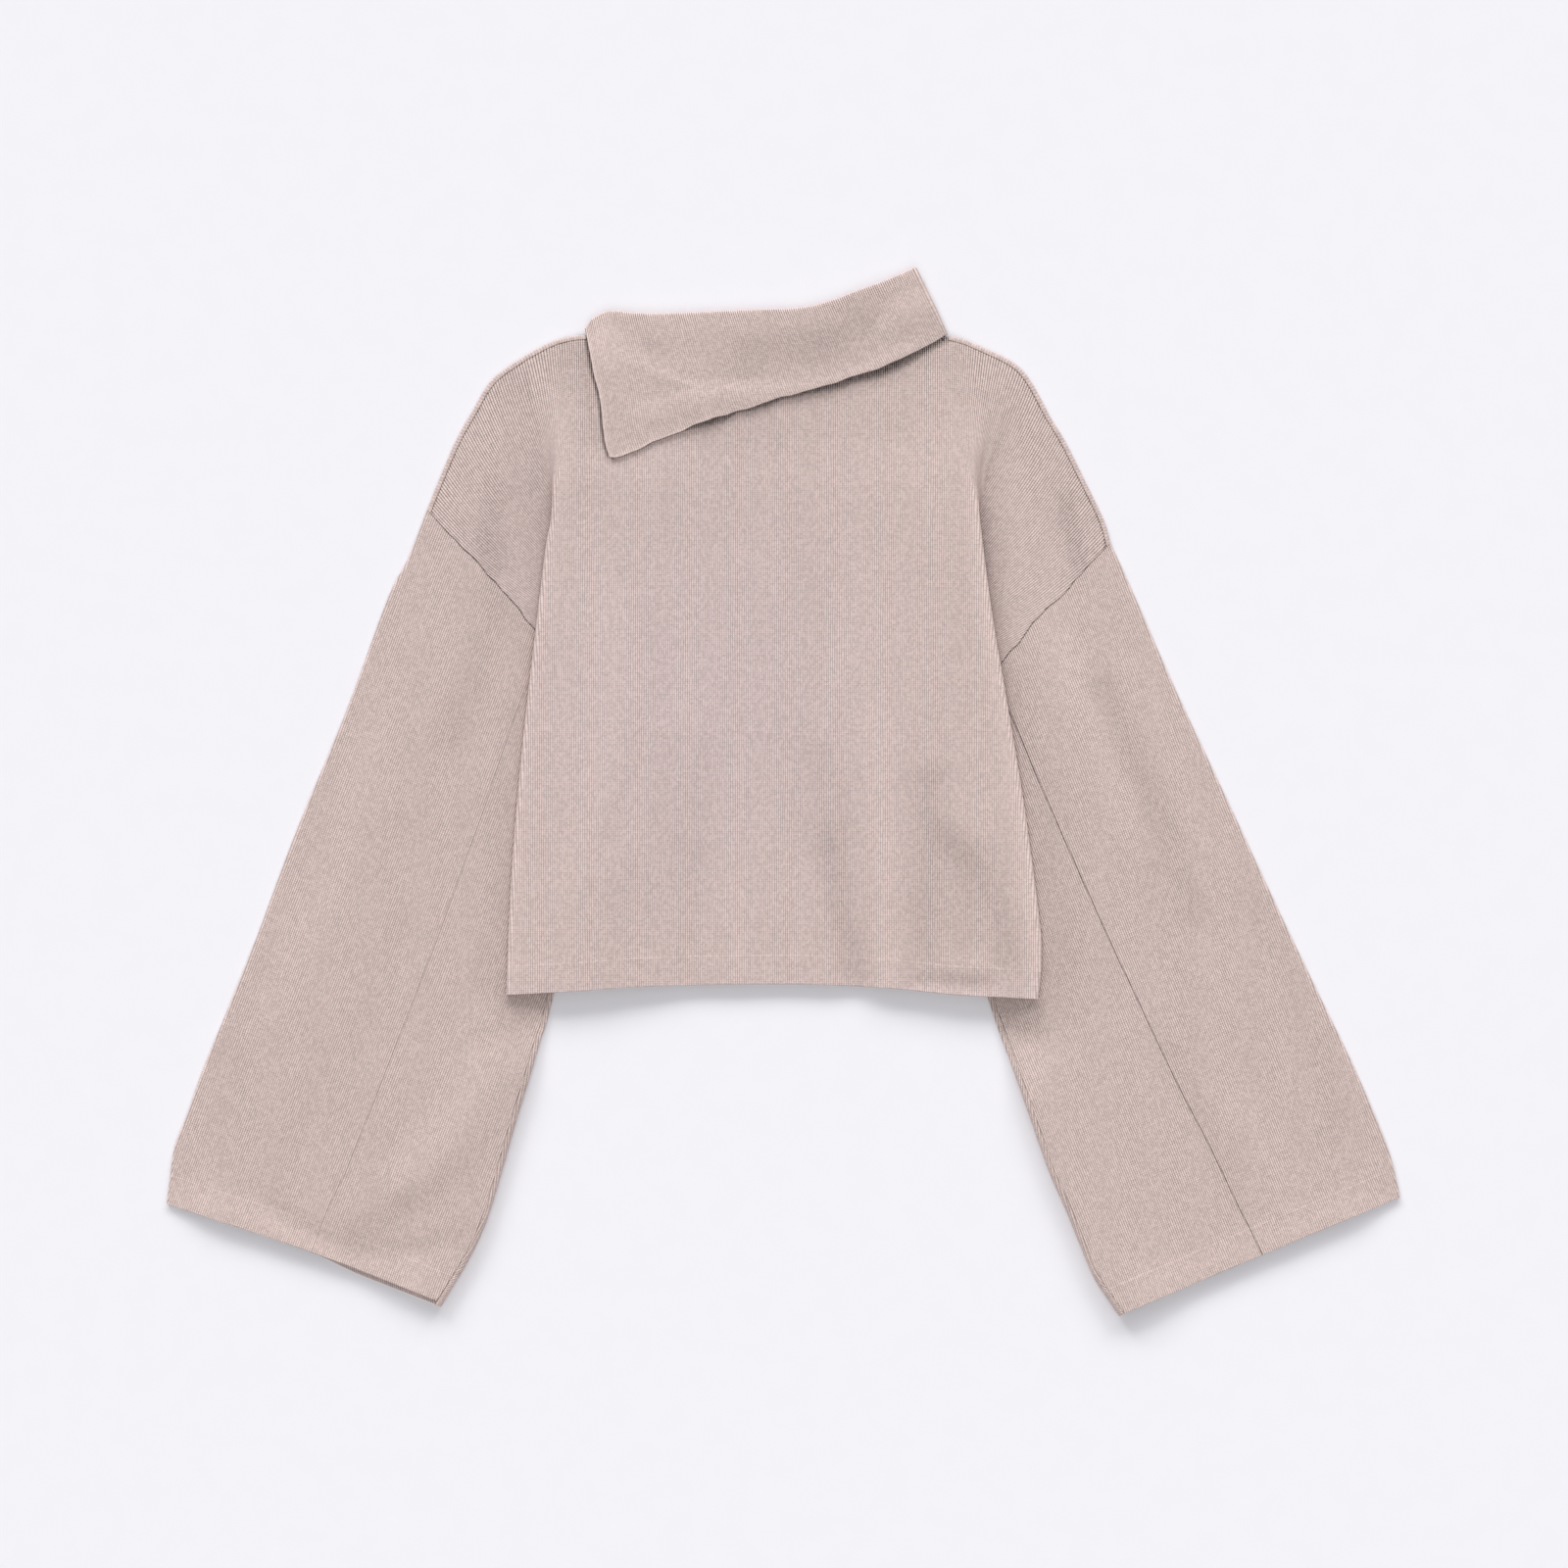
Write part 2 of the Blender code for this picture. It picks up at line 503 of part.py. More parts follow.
def make_sleeve(name):
    """Two panels: the main one wraps the outer fold and the back, the other fills the underarm."""
    table = SLEEVES[name]
    at, down, outer, inner = sleeve_plan(name)
    width = np.linalg.norm(inner - outer, axis=1)
    across = (inner - outer) / width[:, None]
    outer_way, outer_lean = away_from(outer, -across)
    inner_way, inner_lean = away_from(inner, across)
    outer_share = (FLAT_FOLD_INSET / width / outer_lean)[:, None]
    inner_share = 1 - (FLAT_FOLD_INSET / width / inner_lean)[:, None]
    panel_seam = blend(table["panel_seam"][0], table["panel_seam"][1], down)[:, None]
    inner_seam = 1 - (INNER_SEAM_INSET / width / inner_lean)[:, None]
    gap_share = (SEAM_GAP / 2 / width)[:, None]

    def run(start, stop, steps):
        return blend(start, stop, np.linspace(0, 1, steps + 1)[None])

    def raised(shares, layer):
        plan = at(shares)
        rise = 0.0
        if layer > 0:
            inward = np.minimum(shares, 1 - shares)
            taper = ease(inward / RISE_TAPER) * ease(down / RISE_TAPER)[:, None]
            rise = soft_rise(SOFT_FOLDS[name], plan[..., 0], plan[..., 1]) * taper
        z = np.full(shares.shape, height_of(layer)) + rise
        return np.concatenate([plan, z[..., None]], axis=2)

    def turned(share, away, angles):
        plan = at(share)[:, 0]
        points = []
        for angle in angles:
            shift = away * (PITCH / 2 * math.cos(angle))
            z = np.full((len(plan), 1), height_of(0.5) + PITCH / 2 * math.sin(angle))
            points.append(np.concatenate([plan + shift, z], axis=1))
        return np.stack(points, axis=1)

    quarter = math.pi / 2
    front_main = raised(run(panel_seam - gap_share, outer_share, MAIN_FRONT_STEPS), 1)
    outer_fold = turned(outer_share, outer_way, np.linspace(quarter, -quarter, ARC_STEPS + 1)[1:-1])
    back = raised(run(outer_share, inner_share, SLEEVE_BACK_STEPS), 0)
    inner_fold = turned(inner_share, inner_way, np.linspace(-quarter, quarter, ARC_STEPS + 1)[1:-1])
    return_strip = raised(run(inner_share, inner_seam, 1), 1)
    cuff_way = np.array(table["cuff"][-1], dtype=float) - table["cuff"][0]
    drop_way = np.array([cuff_way[1], -cuff_way[0]]) / np.linalg.norm(cuff_way)
    drop = drop_way * -np.sign(drop_way[1]) * table["back_drop"]
    across_back = ease_between(np.linspace(0, 1, SLEEVE_BACK_STEPS + 1), DROP_SHARES)
    drop = (down ** DROP_STEEPNESS)[:, None, None] * drop
    back[..., :2] += across_back[None, :, None] * drop
    inner_fold[..., :2] += drop
    return_strip[..., :2] += drop
    main = np.concatenate([front_main, outer_fold, back, inner_fold, return_strip], axis=1)
    panel = raised(run(panel_seam + gap_share, inner_seam - 2 * gap_share, PANEL_STEPS), 1)
    for piece, grid in ((name + "_sleeve_main", main), (name + "_sleeve_underarm_panel", panel)):
        normal = normals_of(grid)
        flip = 1 if normal[SLEEVE_ROWS // 2, 0, 2] > 0 else -1
        half = normal * flip * CLOTH / 2
        upper, lower = grid + half, grid - half
        if flip < 0:
            upper, lower = upper[:, ::-1], lower[:, ::-1]
        wall(piece, upper, lower)


def make_collar(sides):
    """A strip folded over at the roll: stand inside, flap outside, round from front to back."""
    shares = np.linspace(0, 1, NECK_STEPS + 1)
    side_fold = np.array(SIDE_FOLD, dtype=float)
    fold_way = (side_fold[1] - side_fold[0]) / np.linalg.norm(side_fold[1] - side_fold[0])
    fold_out = np.array([fold_way[1], -fold_way[0]])
    axis_foot = side_fold[0] - fold_out * FOLD_INSET
    axis_top = side_fold[1] - fold_out * FOLD_INSET - fold_way * FLAT_FOLD_INSET
    flap_down = np.linspace(0, 1, FLAP_STEPS + 1)
    stand_up = np.linspace(0, 1, STAND_STEPS + 1)
    turn = np.linspace(-math.pi / 2, math.pi / 2, ARC_STEPS + 1)[1:-1]

    def half(neck, flap_edge, open_end, face, extra_inset):
        roll = along(spline(ROLL), shares) - np.array([0, FLAT_FOLD_INSET + extra_inset])
        roll[0] += OPEN_CORNER_INSET
        roll += (shares ** 3)[:, None] * (axis_top - roll[-1])
        edge = along(spline(flap_edge), shares)
        edge += (shares ** 3)[:, None] * (axis_foot - edge[-1])
        foot = along(spline(neck), shares)
        upward = roll - foot
        upward /= np.linalg.norm(upward, axis=1, keepdims=True)
        foot = foot + upward * SEAM_GAP
        foot[-1] = axis_foot + fold_way * SEAM_GAP * 2
        end_line = along(spline(open_end), flap_down)
        end_line += (1 - flap_down)[:, None] * (roll[0] - end_line[0])
        axis_line = blend(axis_top, axis_foot, flap_down[:, None])
        flap = patch(roll, edge, end_line, axis_line, flap_down).transpose(1, 0, 2)
        columns = []
        for column, share in enumerate(shares):
            stand = blend(foot[column], roll[column], stand_up[:, None])
            way = blend(upward[column], fold_way, share ** 2)
            way = way / np.linalg.norm(way)
            over = roll[column] + np.cos(turn)[:, None] * way * PITCH / 2
            stand_z = np.full(len(stand), 0.5 * PITCH)
            over_z = PITCH + np.sin(turn) * PITCH / 2
            flap_z = np.full(len(flap[column]), 1.5 * PITCH)
            if face > 0:
                stand_z += (front_layer(sides, stand[:, 0], stand[:, 1]) - 2) * PITCH
                flap_z += (front_layer(sides, flap[column][:, 0], flap[column][:, 1]) - 2) * PITCH
                flap_z += soft_rise(SOFT_FOLDS["front"], flap[column][:, 0], flap[column][:, 1])
                flap_z += FLAP_CLEARANCE * ease(flap_down * 3) * (1 - share ** 4)
            plan = np.concatenate([stand, over, flap[column]])
            z = height_of(1.5) + face * np.concatenate([stand_z, over_z, flap_z])
            columns.append(np.concatenate([plan, z[:, None]], axis=1))
        return columns

    front = half(FRONT_NECK, FLAP_EDGE, OPEN_END, 1, 0.0)
    back = half(BACK_NECK, BACK_FLAP_EDGE, BACK_OPEN_END, -1, BACK_ROLL_INSET)
    wrap = []
    start = front[-1]
    radius = start[:, 2] - height_of(1.5)
    for angle in np.linspace(0, math.pi, ARC_STEPS + 3)[1:-1]:
        plan = start[:, :2] + radius[:, None] * math.sin(angle) * fold_out
        z = height_of(1.5) + radius * math.cos(angle)
        wrap.append(np.concatenate([plan, z[:, None]], axis=1))
    grid = np.stack(front + wrap + back[::-1], axis=1)
    normal = normals_of(grid)
    half_wall = normal * CLOTH / 2
    wall("collar", grid + half_wall, grid - half_wall)


def main():
    for item in list(bpy.data.objects):
        bpy.data.objects.remove(item, do_unlink=True)
    sides = (Side("left"), Side("right"))
    make_body(sides)
    make_sleeve("left")
    make_sleeve("right")
    make_collar(sides)


main()
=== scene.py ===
"""Looks of a cropped knit sweater that lies flat, face up, with its sleeves swung down.

Sizes are in millimetres unless a name says otherwise. X runs across the sweater, Y from hem to
neck, Z up from the surface that it lies on.
"""
import math

import bpy
import numpy as np
from mathutils.bvhtree import BVHTree
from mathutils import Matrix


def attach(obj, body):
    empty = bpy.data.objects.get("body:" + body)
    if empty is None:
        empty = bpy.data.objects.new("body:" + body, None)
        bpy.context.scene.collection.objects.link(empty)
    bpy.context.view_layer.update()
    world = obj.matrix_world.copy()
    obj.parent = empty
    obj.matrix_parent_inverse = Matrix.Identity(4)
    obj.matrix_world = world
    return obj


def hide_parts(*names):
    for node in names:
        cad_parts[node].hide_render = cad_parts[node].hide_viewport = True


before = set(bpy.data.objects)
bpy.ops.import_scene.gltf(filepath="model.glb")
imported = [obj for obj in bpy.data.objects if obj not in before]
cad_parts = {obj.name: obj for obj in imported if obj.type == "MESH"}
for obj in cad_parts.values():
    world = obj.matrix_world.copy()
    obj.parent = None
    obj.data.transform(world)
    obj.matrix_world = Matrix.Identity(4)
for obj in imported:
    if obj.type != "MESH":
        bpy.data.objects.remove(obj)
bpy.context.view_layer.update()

# ---------------------------------------------------------------------------------------------
# Back panel. Fine rib knit of soft rose-beige yarn, knitted to shape from the hem band up. Its
# sides are folded under together with the front, and its shoulders wrap over to the front,
# where they are linked to it.

MM = 0.001
# Thickness of the cloth, the gap between two layers, and how far the round rim stands out.
CLOTH = 1.5
LAYER_GAP = 0.4
PITCH = CLOTH + LAYER_GAP
RIM_ROUND = 0.35

FOLD_LAYERS = 4
FOLD_INSET = 1.5 * PITCH + CLOTH / 2
FLAT_FOLD_INSET = PITCH / 2 + CLOTH / 2
SOFT_RUN_AT_NECK = 30.0
SOFT_RUN_AT_FOLD = 1.0
SOFT_ANGLES = np.linspace(0.001, 1.35, 400)
HALF_FOLD_FULLNESS = 0.85
LEAST_RUN = 0.4
STEP_RUN = 58.0
STEP_MARGIN = 21.0
SLEEVE_COVER = 10.0
SLEEVE_COVER_ENDS = 2.0

# Stations down a panel: 0 at the shoulder seam, 1 at the underarm, 2 at the hem.
UNDER_FOLD_ENDS = 0.965
STATIONS = np.concatenate([
    np.linspace(0.0, 0.34, 34, endpoint=False),
    np.linspace(0.34, 0.41, 10, endpoint=False),
    np.linspace(0.41, UNDER_FOLD_ENDS, 46),
    np.linspace(UNDER_FOLD_ENDS, 2.0, 72)[1:],
])
STEP_RISES = (0.02, 0.34)
TOP_LINE_FADES = 0.2
STEP_TURNS_UNDER = (0.34, 0.41)
NECK_RUNS_OUT = 0.29
STEP_STEPS = 10
EDGE_STEPS = 7
MIDDLE_STEPS = 72
NECK_STEPS = MIDDLE_STEPS + 2 * (STEP_STEPS + EDGE_STEPS)
ARC_STEPS = 8
UNDER_STEPS = 4
SHOULDER_STEPS = 32
SIDE_COLUMNS = 2 * ARC_STEPS + UNDER_STEPS + SHOULDER_STEPS

# Each side of the body: "shoulder" from neck to shoulder point, "armhole" from there to the
# underarm, "edge" the folded edge from shoulder to hem, "side_seam" from the underarm to the hem.
SIDES = {
    "left": {
        "sign": -1,
        "shoulder": ((-142, 336), (-156, 335), (-172.5, 330), (-198, 315.5), (-216, 301),
                     (-229, 279.5), (-241, 258), (-253.5, 229), (-262, 207.5)),
        "armhole": ((-262, 207.5), (-252.5, 196.5), (-235, 178.5), (-209.5, 151), (-183.5, 120),
                    (-123.5, 45)),
        "edge": ((-168, 336), (-169.5, 265), (-170.5, 207), (-175, 178.5), (-182, 121), (-192, 34),
                 (-198.5, -38), (-202, -96), (-204, -150)),
        "side_seam": ((-123.5, 45), (-152, -30), (-176, -96), (-192, -150)),
    },
    "right": {
        "sign": 1,
        "shoulder": ((118, 335.5), (128, 334), (139.5, 330), (169.5, 315.5), (183, 301),
                     (196.5, 276), (207.5, 258), (222, 229), (236, 200), (241, 183)),
        "armhole": ((241, 183), (229, 170.5), (209, 148), (184, 123.5), (163, 97), (94.5, 25.5)),
        "edge": ((145, 334), (146, 265), (143.5, 236), (144.5, 207), (149.5, 164), (155.5, 121),
                 (163, 77.5), (177.5, -9.5), (189, -96), (190.5, -125), (188, -153)),
        "side_seam": ((94.5, 25.5), (128, -40), (158, -100), (176, -153)),
    },
}
SLEEVE_INNER = {
    "left": ((-123.5, 45), (-169, -150), (-178.5, -183.5), (-187, -213), (-198, -249),
             (-206, -277.5), (-218, -316.5), (-231, -344.5), (-250.5, -376.5)),
    "right": ((94.5, 25.5), (151.5, -154.5), (167.5, -200), (180.5, -237.5), (195.5, -280),
              (209.5, -312), (227, -355), (237.5, -372), (247, -386)),
}
BACK_NECK = ((-142, 336), (-86, 330), (-10, 326.5), (58, 330), (118, 335.5))
HEM = ((-204, -150), (-151, -147), (-107.5, -144), (-57, -142.5), (11.5, -142), (73, -144.5),
       (109, -148), (131, -150), (188, -153))
BACK_HEM_RISE = 1.5
BACK_FLAP_EDGE = ((-126, 262), (-70, 278), (0, 299), (60, 317), (122, 337))
COLLAR_LIFT_MARGIN = 25.0
COLLAR_LIFT_RUN = 30.0
SIDE_LIFT_MARGIN = 4.0
SIDE_LIFT_RUN = 24.0

# The wales of the knit fan out along the shoulder: by FAN_ANGLE in all, from a seam that slopes
# by SHOULDER_SLOPE in the cloth, and stretched along it by SEAM_STRETCH.
FAN_ANGLE = math.radians(36)
SHOULDER_SLOPE = math.radians(20)
SEAM_STRETCH = 1.25
TURN_HALF_WIDTH = 30.0
LEAST_TURN_HALF_WIDTH = 0.5
TURN_NARROWS = (0.1, 0.41)
TURN_IS_FOLD = (0.3, 0.41)

SHOULDER_WRAP_INSET = 1.7
SHOULDER_WRAP_RUN = 1.3
SHOULDER_WRAP_FADES = 0.09
WRAP_ARC_STEPS = 8
WRAP_ROW_GAP = 0.5
WRAP_WAY_POINTS = 20
# Depth of the ribs: on the body, what the pull of the shoulder seam adds, and on the wrap.
BODY_RIBS = 1.25
SHOULDER_RIBS = 0.8
SHOULDER_RIBS_REACH = 45.0
WRAP_RIBS = 0.35

# Waves of a seam that is linked loop by loop: length and depth of each. They start off slowly.
SEAM_WOBBLES = ((23.0, 0.30), (14.0, 0.22), (41.0, 0.35))
SEAM_WOBBLES_START = 15.0
# Waves of cloth that nobody has pressed, and the height that they reach together.
UNPRESSED_WAVES = (46.0, 61.0, 78.0, 104.0, 139.0)
UNPRESSED_HEIGHT = 0.3
MOST_BOW = 20.0


def height_of(layer):
    """Height of the middle of a layer."""
    return CLOTH / 2 + layer * PITCH


def ease(value):
    """Smooth step from 0 to 1."""
    value = np.clip(value, 0.0, 1.0)
    return value * value * (3 - 2 * value)


def ease_between(value, limits):
    """Smooth step from 0 at the first limit to 1 at the second."""
    return ease((value - limits[0]) / (limits[1] - limits[0]))


def mix(first, second, share):
    """The share of the way from first to second."""
    return first + (second - first) * share


def spline(points, steps=24):
    """A smooth dense line through the points."""
    points = np.array(points, dtype=float)
    ends = np.vstack([2 * points[0] - points[1], points, 2 * points[-1] - points[-2]])
    line = []
    for before, start, stop, after in zip(ends, ends[1:], ends[2:], ends[3:]):
        for share in np.arange(steps) / steps:
            line.append(0.5 * (2 * start + (stop - before) * share
                               + (2 * before - 5 * start + 4 * stop - after) * share ** 2
                               + (3 * start - before - 3 * stop + after) * share ** 3))
    line.append(points[-1])
    return np.array(line)


def travelled_along(line):
    """Distance travelled at each point of a line."""
    lengths = np.linalg.norm(np.diff(line, axis=0), axis=1)
    return np.concatenate([[0.0], np.cumsum(lengths)])


def along(line, shares):
    """Points of a line at shares of its length."""
    travelled = travelled_along(line)
    wanted = np.atleast_1d(shares) * travelled[-1]
    columns = [np.interp(wanted, travelled, line[:, axis]) for axis in range(line.shape[1])]
    return np.stack(columns, axis=1)


def hand_linked(line):
    """The line of a seam with the slight wobble that it has when it is linked loop by loop."""
    travelled = travelled_along(line)
    waves = [size * np.sin(travelled * 2 * math.pi / length) for length, size in SEAM_WOBBLES]
    steady = ease(np.minimum(travelled, travelled[-1] - travelled) / SEAM_WOBBLES_START)
    way = np.gradient(line, axis=0)
    way /= np.linalg.norm(way, axis=1, keepdims=True)
    return line + (sum(waves) * steady)[:, None] * np.stack([-way[:, 1], way[:, 0]], axis=1)


def x_at(line, y):
    """X of a line that falls steadily in Y."""
    return np.interp(-np.asarray(y), -line[:, 1], line[:, 0])


def patch(top, bottom, left, right, down):
    """A grid filled in between its four edges; down holds each row's share of the way down."""
    across = np.linspace(0, 1, len(top))[None, :, None]
    down = np.asarray(down)[:, None, None]
    ruled = (1 - down) * top[None] + down * bottom[None]
    ruled = ruled + (1 - across) * left[:, None] + across * right[:, None]
    corners = ((1 - across) * (1 - down) * top[0] + across * (1 - down) * top[-1]
               + (1 - across) * down * bottom[0] + across * down * bottom[-1])
    return ruled - corners


def normals_of(grid):
    """Unit normals of a grid of points whose columns run right and rows run down."""
    right = np.gradient(grid, axis=1)
    down = np.gradient(grid, axis=0)
    normal = np.cross(down, right)
    return normal / np.linalg.norm(normal, axis=2, keepdims=True)


def distance_to(line, x, y):
    """Distance in plan from each place to a line."""
    points = np.stack([np.ravel(x), np.ravel(y)], axis=1)
    nearest = np.full(len(points), np.inf)
    for start, stop in zip(line, line[1:]):
        way = stop[:2] - start[:2]
        share = np.clip(((points - start[:2]) @ way) / max(way @ way, 1e-9), 0, 1)
        gap = np.linalg.norm(points - start[:2] - share[:, None] * way, axis=1)
        nearest = np.minimum(nearest, gap)
    return nearest.reshape(np.shape(x))


def soft_rise(folds, x, y):
    """Height that soft folds add at a place: ridges above, troughs below."""
    rise = np.zeros_like(x)
    for fold in folds:
        start, stop = np.array(fold["from"], float), np.array(fold["to"], float)
        length = np.linalg.norm(stop - start)
        way = (stop - start) / length
        ahead = (x - start[0]) * way[0] + (y - start[1]) * way[1]
        bulge = fold["bow"] * 4 * (ahead / length) * (1 - ahead / length)
        bulge = np.clip(bulge, -MOST_BOW, MOST_BOW)
        aside = (y - start[1]) * way[0] - (x - start[0]) * way[1] - bulge
        past = np.maximum(0.0, np.maximum(-ahead, ahead - length)) / fold["fades"]
        rise = rise + fold["height"] * np.exp(-(aside / fold["width"]) ** 2 - past ** 2)
    return rise


def unevenness(x, y, seed):
    """The slight ups and downs of cloth that nobody has pressed, never below zero."""
    rng = np.random.default_rng(seed)
    total = np.zeros_like(x)
    for wavelength in UNPRESSED_WAVES:
        heading = rng.uniform(0, math.pi)
        start = rng.uniform(0, 2 * math.pi)
        across = x * math.cos(heading) + y * math.sin(heading)
        total += np.sin(across * 2 * math.pi / wavelength + start)
    return UNPRESSED_HEIGHT * (1 + total / len(UNPRESSED_WAVES))


class Side:
    """One side of the body, with its lines worked out at every station."""

    def __init__(self, name):
        table = SIDES[name]
        self.name = name
        self.sign = table["sign"]
        self.shoulder = spline(table["shoulder"])
        self.armhole = hand_linked(spline(table["armhole"]))
        self.edge = spline(table["edge"])
        self.side_seam = spline(table["side_seam"])
        self.sleeve_inner = spline(SLEEVE_INNER[name])
        self.underarm = table["armhole"][-1]
        self.top = self.shoulder_height(self.edge[0, 0])
        self.hem = table["side_seam"][-1][1]

    def shoulder_height(self, x):
        """Y of the shoulder seam at x."""
        order = np.argsort(self.shoulder[:, 0])
        return np.interp(x, self.shoulder[order, 0], self.shoulder[order, 1])

    def height_at(self, station):
        """Y of a station on this side."""
        return np.interp(station, (0, 1, 2), (self.top, self.underarm[1], self.hem))

    def station_at(self, y):
        """Station of a Y on this side."""
        return np.interp(-y, (-self.top, -self.underarm[1], -self.hem), (0, 1, 2))

    def fold_start(self, y):
        """X where the full fold leaves the top of the body."""
        return x_at(self.edge, y) - self.sign * FOLD_INSET

    def under_end(self, y):
        """X where the part folded under ends: at the hidden fold, and below it at the side seam."""
        apex = self.height_at(STEP_TURNS_UNDER[1])
        share = (apex - y) / (apex - self.underarm[1])
        hidden = mix(self.fold_start(apex), self.underarm[0], share)
        return np.where(y > self.underarm[1], hidden, x_at(self.side_seam, y))

    def step_start(self, y):
        """X where the upper layers start to come down towards the middle of the body."""
        past_edge = x_at(self.edge, y) - self.sign * STEP_MARGIN
        past_hidden = self.under_end(y) - self.sign * (PITCH + FOLD_INSET)
        above = np.maximum(past_edge * -self.sign, past_hidden * -self.sign) * -self.sign
        covered = ease_between(self.station_at(y), (1.0, SLEEVE_COVER_ENDS))
        past_sleeve = mix(PITCH + FOLD_INSET, -SLEEVE_COVER, covered)
        below = x_at(self.sleeve_inner, y) - self.sign * past_sleeve
        return np.where(y > self.underarm[1], above, below)

    def rise(self, x, y):
        """Share of the full fold height that a point of the middle of the body lies at."""
        inward = (x - self.step_start(y)) * -self.sign
        return ease_between(self.station_at(y), STEP_RISES) * (1 - ease(inward / STEP_RUN))

    def tuck(self, station):
        """Points from the middle of the body over the folded edge to the shoulder part."""
        y = self.height_at(station)
        drop = FOLD_LAYERS * PITCH * ease_between(station, STEP_RISES)
        straight = mix(SOFT_RUN_AT_NECK, SOFT_RUN_AT_FOLD, ease_between(station, (0.0, STEP_RISES[1])))
        turn_drops = 2 * math.pi * PITCH / SOFT_ANGLES * (1 - np.cos(SOFT_ANGLES))
        angle = np.interp(drop, turn_drops + straight * np.sin(SOFT_ANGLES), SOFT_ANGLES)
        radius = math.pi * PITCH / angle
        turned = np.interp(station, STEP_TURNS_UNDER, (0, 1))
        if turned > 0:
            angle = mix(angle, math.pi, turned)
            fullness = mix(HALF_FOLD_FULLNESS, 1.0, angle / math.pi)
            radius = min(math.pi * PITCH / angle, fullness * 2 * PITCH / (1 - math.cos(angle)))
            straight = (drop - 2 * radius * (1 - math.cos(angle))) / max(math.sin(angle), SOFT_ANGLES[0])
        if turned == 1:
            straight = abs(self.fold_start(y) - self.under_end(y))
        straight = max(straight, LEAST_RUN)
        reach = radius if angle > math.pi / 2 else radius * math.sin(angle) + straight * math.cos(angle) / 2
        start = x_at(self.edge, y) - self.sign * (FOLD_INSET - PITCH + reach)
        path = fold_path(angle, radius, straight)
        x = start + self.sign * path[:, 0]
        z = height_of(0.5) + drop - path[:, 1]
        near_top = max(0.0, 1 - station / TOP_LINE_FADES)
        path_y = y + (self.shoulder_height(x) - self.top) * near_top
        return np.stack([x, path_y, z], 1)

    def shoulder_part(self, starts):
        """Grid from the hidden fold out to the armhole seam, a row for each station to the underarm."""
        shares = np.minimum(STATIONS, 1.0)
        outside = self.shoulder[(self.shoulder[:, 0] - starts[0, 0]) * self.sign > 0]
        top = along(np.vstack([starts[0, :2], outside]), np.linspace(0, 1, SHOULDER_STEPS + 1))
        seam = along(self.armhole, shares)
        bottom = np.repeat(np.array([self.underarm], dtype=float), SHOULDER_STEPS + 1, axis=0)
        inner = starts[:, :2].copy()
        inner[shares >= 1] = self.underarm
        plan = patch(top, bottom, inner, seam, shares)
        return np.concatenate([plan, np.full(plan.shape[:2] + (1,), height_of(0.5))], axis=2)[:, 1:]

    def outward(self):
        """All points from the middle of the body outward, a row for each station.

        Below the underarm there is no shoulder part; there the last one goes on, to be left out."""
        tucks = [self.tuck(station) for station in STATIONS]
        parts = self.shoulder_part(np.array([tuck[-1] for tuck in tucks]))
        start = len(tucks[0]) - ARC_STEPS - 1
        rows = []
        for station, tuck, part in zip(STATIONS, tucks, parts):
            if station <= UNDER_FOLD_ENDS:
                under_fold = np.vstack([tuck[start:], part]) - tuck[start]
            rows.append(np.vstack([tuck[:start], tuck[start] + under_fold]))
        return np.array(rows)

    def shoulder_cloth(self, x, y):
        """Cloth coordinates beside the shoulder seam, where the wales fan out."""
        neck, point = self.shoulder[0], self.shoulder[-1]
        chord = point - neck
        length = np.linalg.norm(chord)
        radius = length / 2 / math.sin(FAN_ANGLE / 2)
        inward = np.array([-chord[1], chord[0]]) / length * -self.sign
        centre = (neck + point) / 2 + inward * radius * math.cos(FAN_ANGLE / 2)
        first = neck - centre
        turn = np.arctan2(first[0], first[1]) - np.arctan2(x - centre[0], y - centre[1])
        travelled = -self.sign * turn * radius / SEAM_STRETCH
        depth = radius - np.hypot(x - centre[0], y - centre[1])
        slope = np.array([self.sign * math.cos(SHOULDER_SLOPE), -math.sin(SHOULDER_SLOPE)])
        below = np.array([-self.sign * math.sin(SHOULDER_SLOPE), -math.cos(SHOULDER_SLOPE)])
        return neck + travelled[..., None] * slope + depth[..., None] * below


def fold_path(angle, radius, straight):
    """Distances across and down along cloth that turns down, runs straight and turns level again."""
    turns = np.linspace(0, angle, ARC_STEPS + 1)
    first = radius * np.stack([np.sin(turns), 1 - np.cos(turns)], 1)
    ahead = straight * np.array([math.cos(angle), math.sin(angle)])
    shares = np.linspace(0, 1, UNDER_STEPS + 1)[1:-1, None]
    middle = first[-1] + shares * ahead
    back = angle - turns
    second = radius * np.stack([math.sin(angle) - np.sin(back), np.cos(back) - math.cos(angle)], 1)
    return np.concatenate([first, middle, first[-1] + ahead + second])


def collar_lift(x, y):
    """How far, in layers, the collar's back flap lifts the panels that lie on it."""
    edge = np.array(BACK_FLAP_EDGE, dtype=float)
    below = np.interp(x, edge[:, 0], edge[:, 1]) - COLLAR_LIFT_MARGIN - y
    past_left = SIDES["left"]["shoulder"][0][0] - x
    past_right = x - SIDES["right"]["shoulder"][0][0] - SIDE_LIFT_MARGIN
    outside = np.maximum(below / COLLAR_LIFT_RUN, np.maximum(past_left, past_right) / SIDE_LIFT_RUN)
    return 1 - ease(outside)


def front_layer(x, y):
    """Layer, counted from the surface, that the front lies at near the middle of the body."""
    layers = 1 + collar_lift(x, y)
    for side in body_sides:
        layers = layers + FOLD_LAYERS * side.rise(x, y)
    return layers


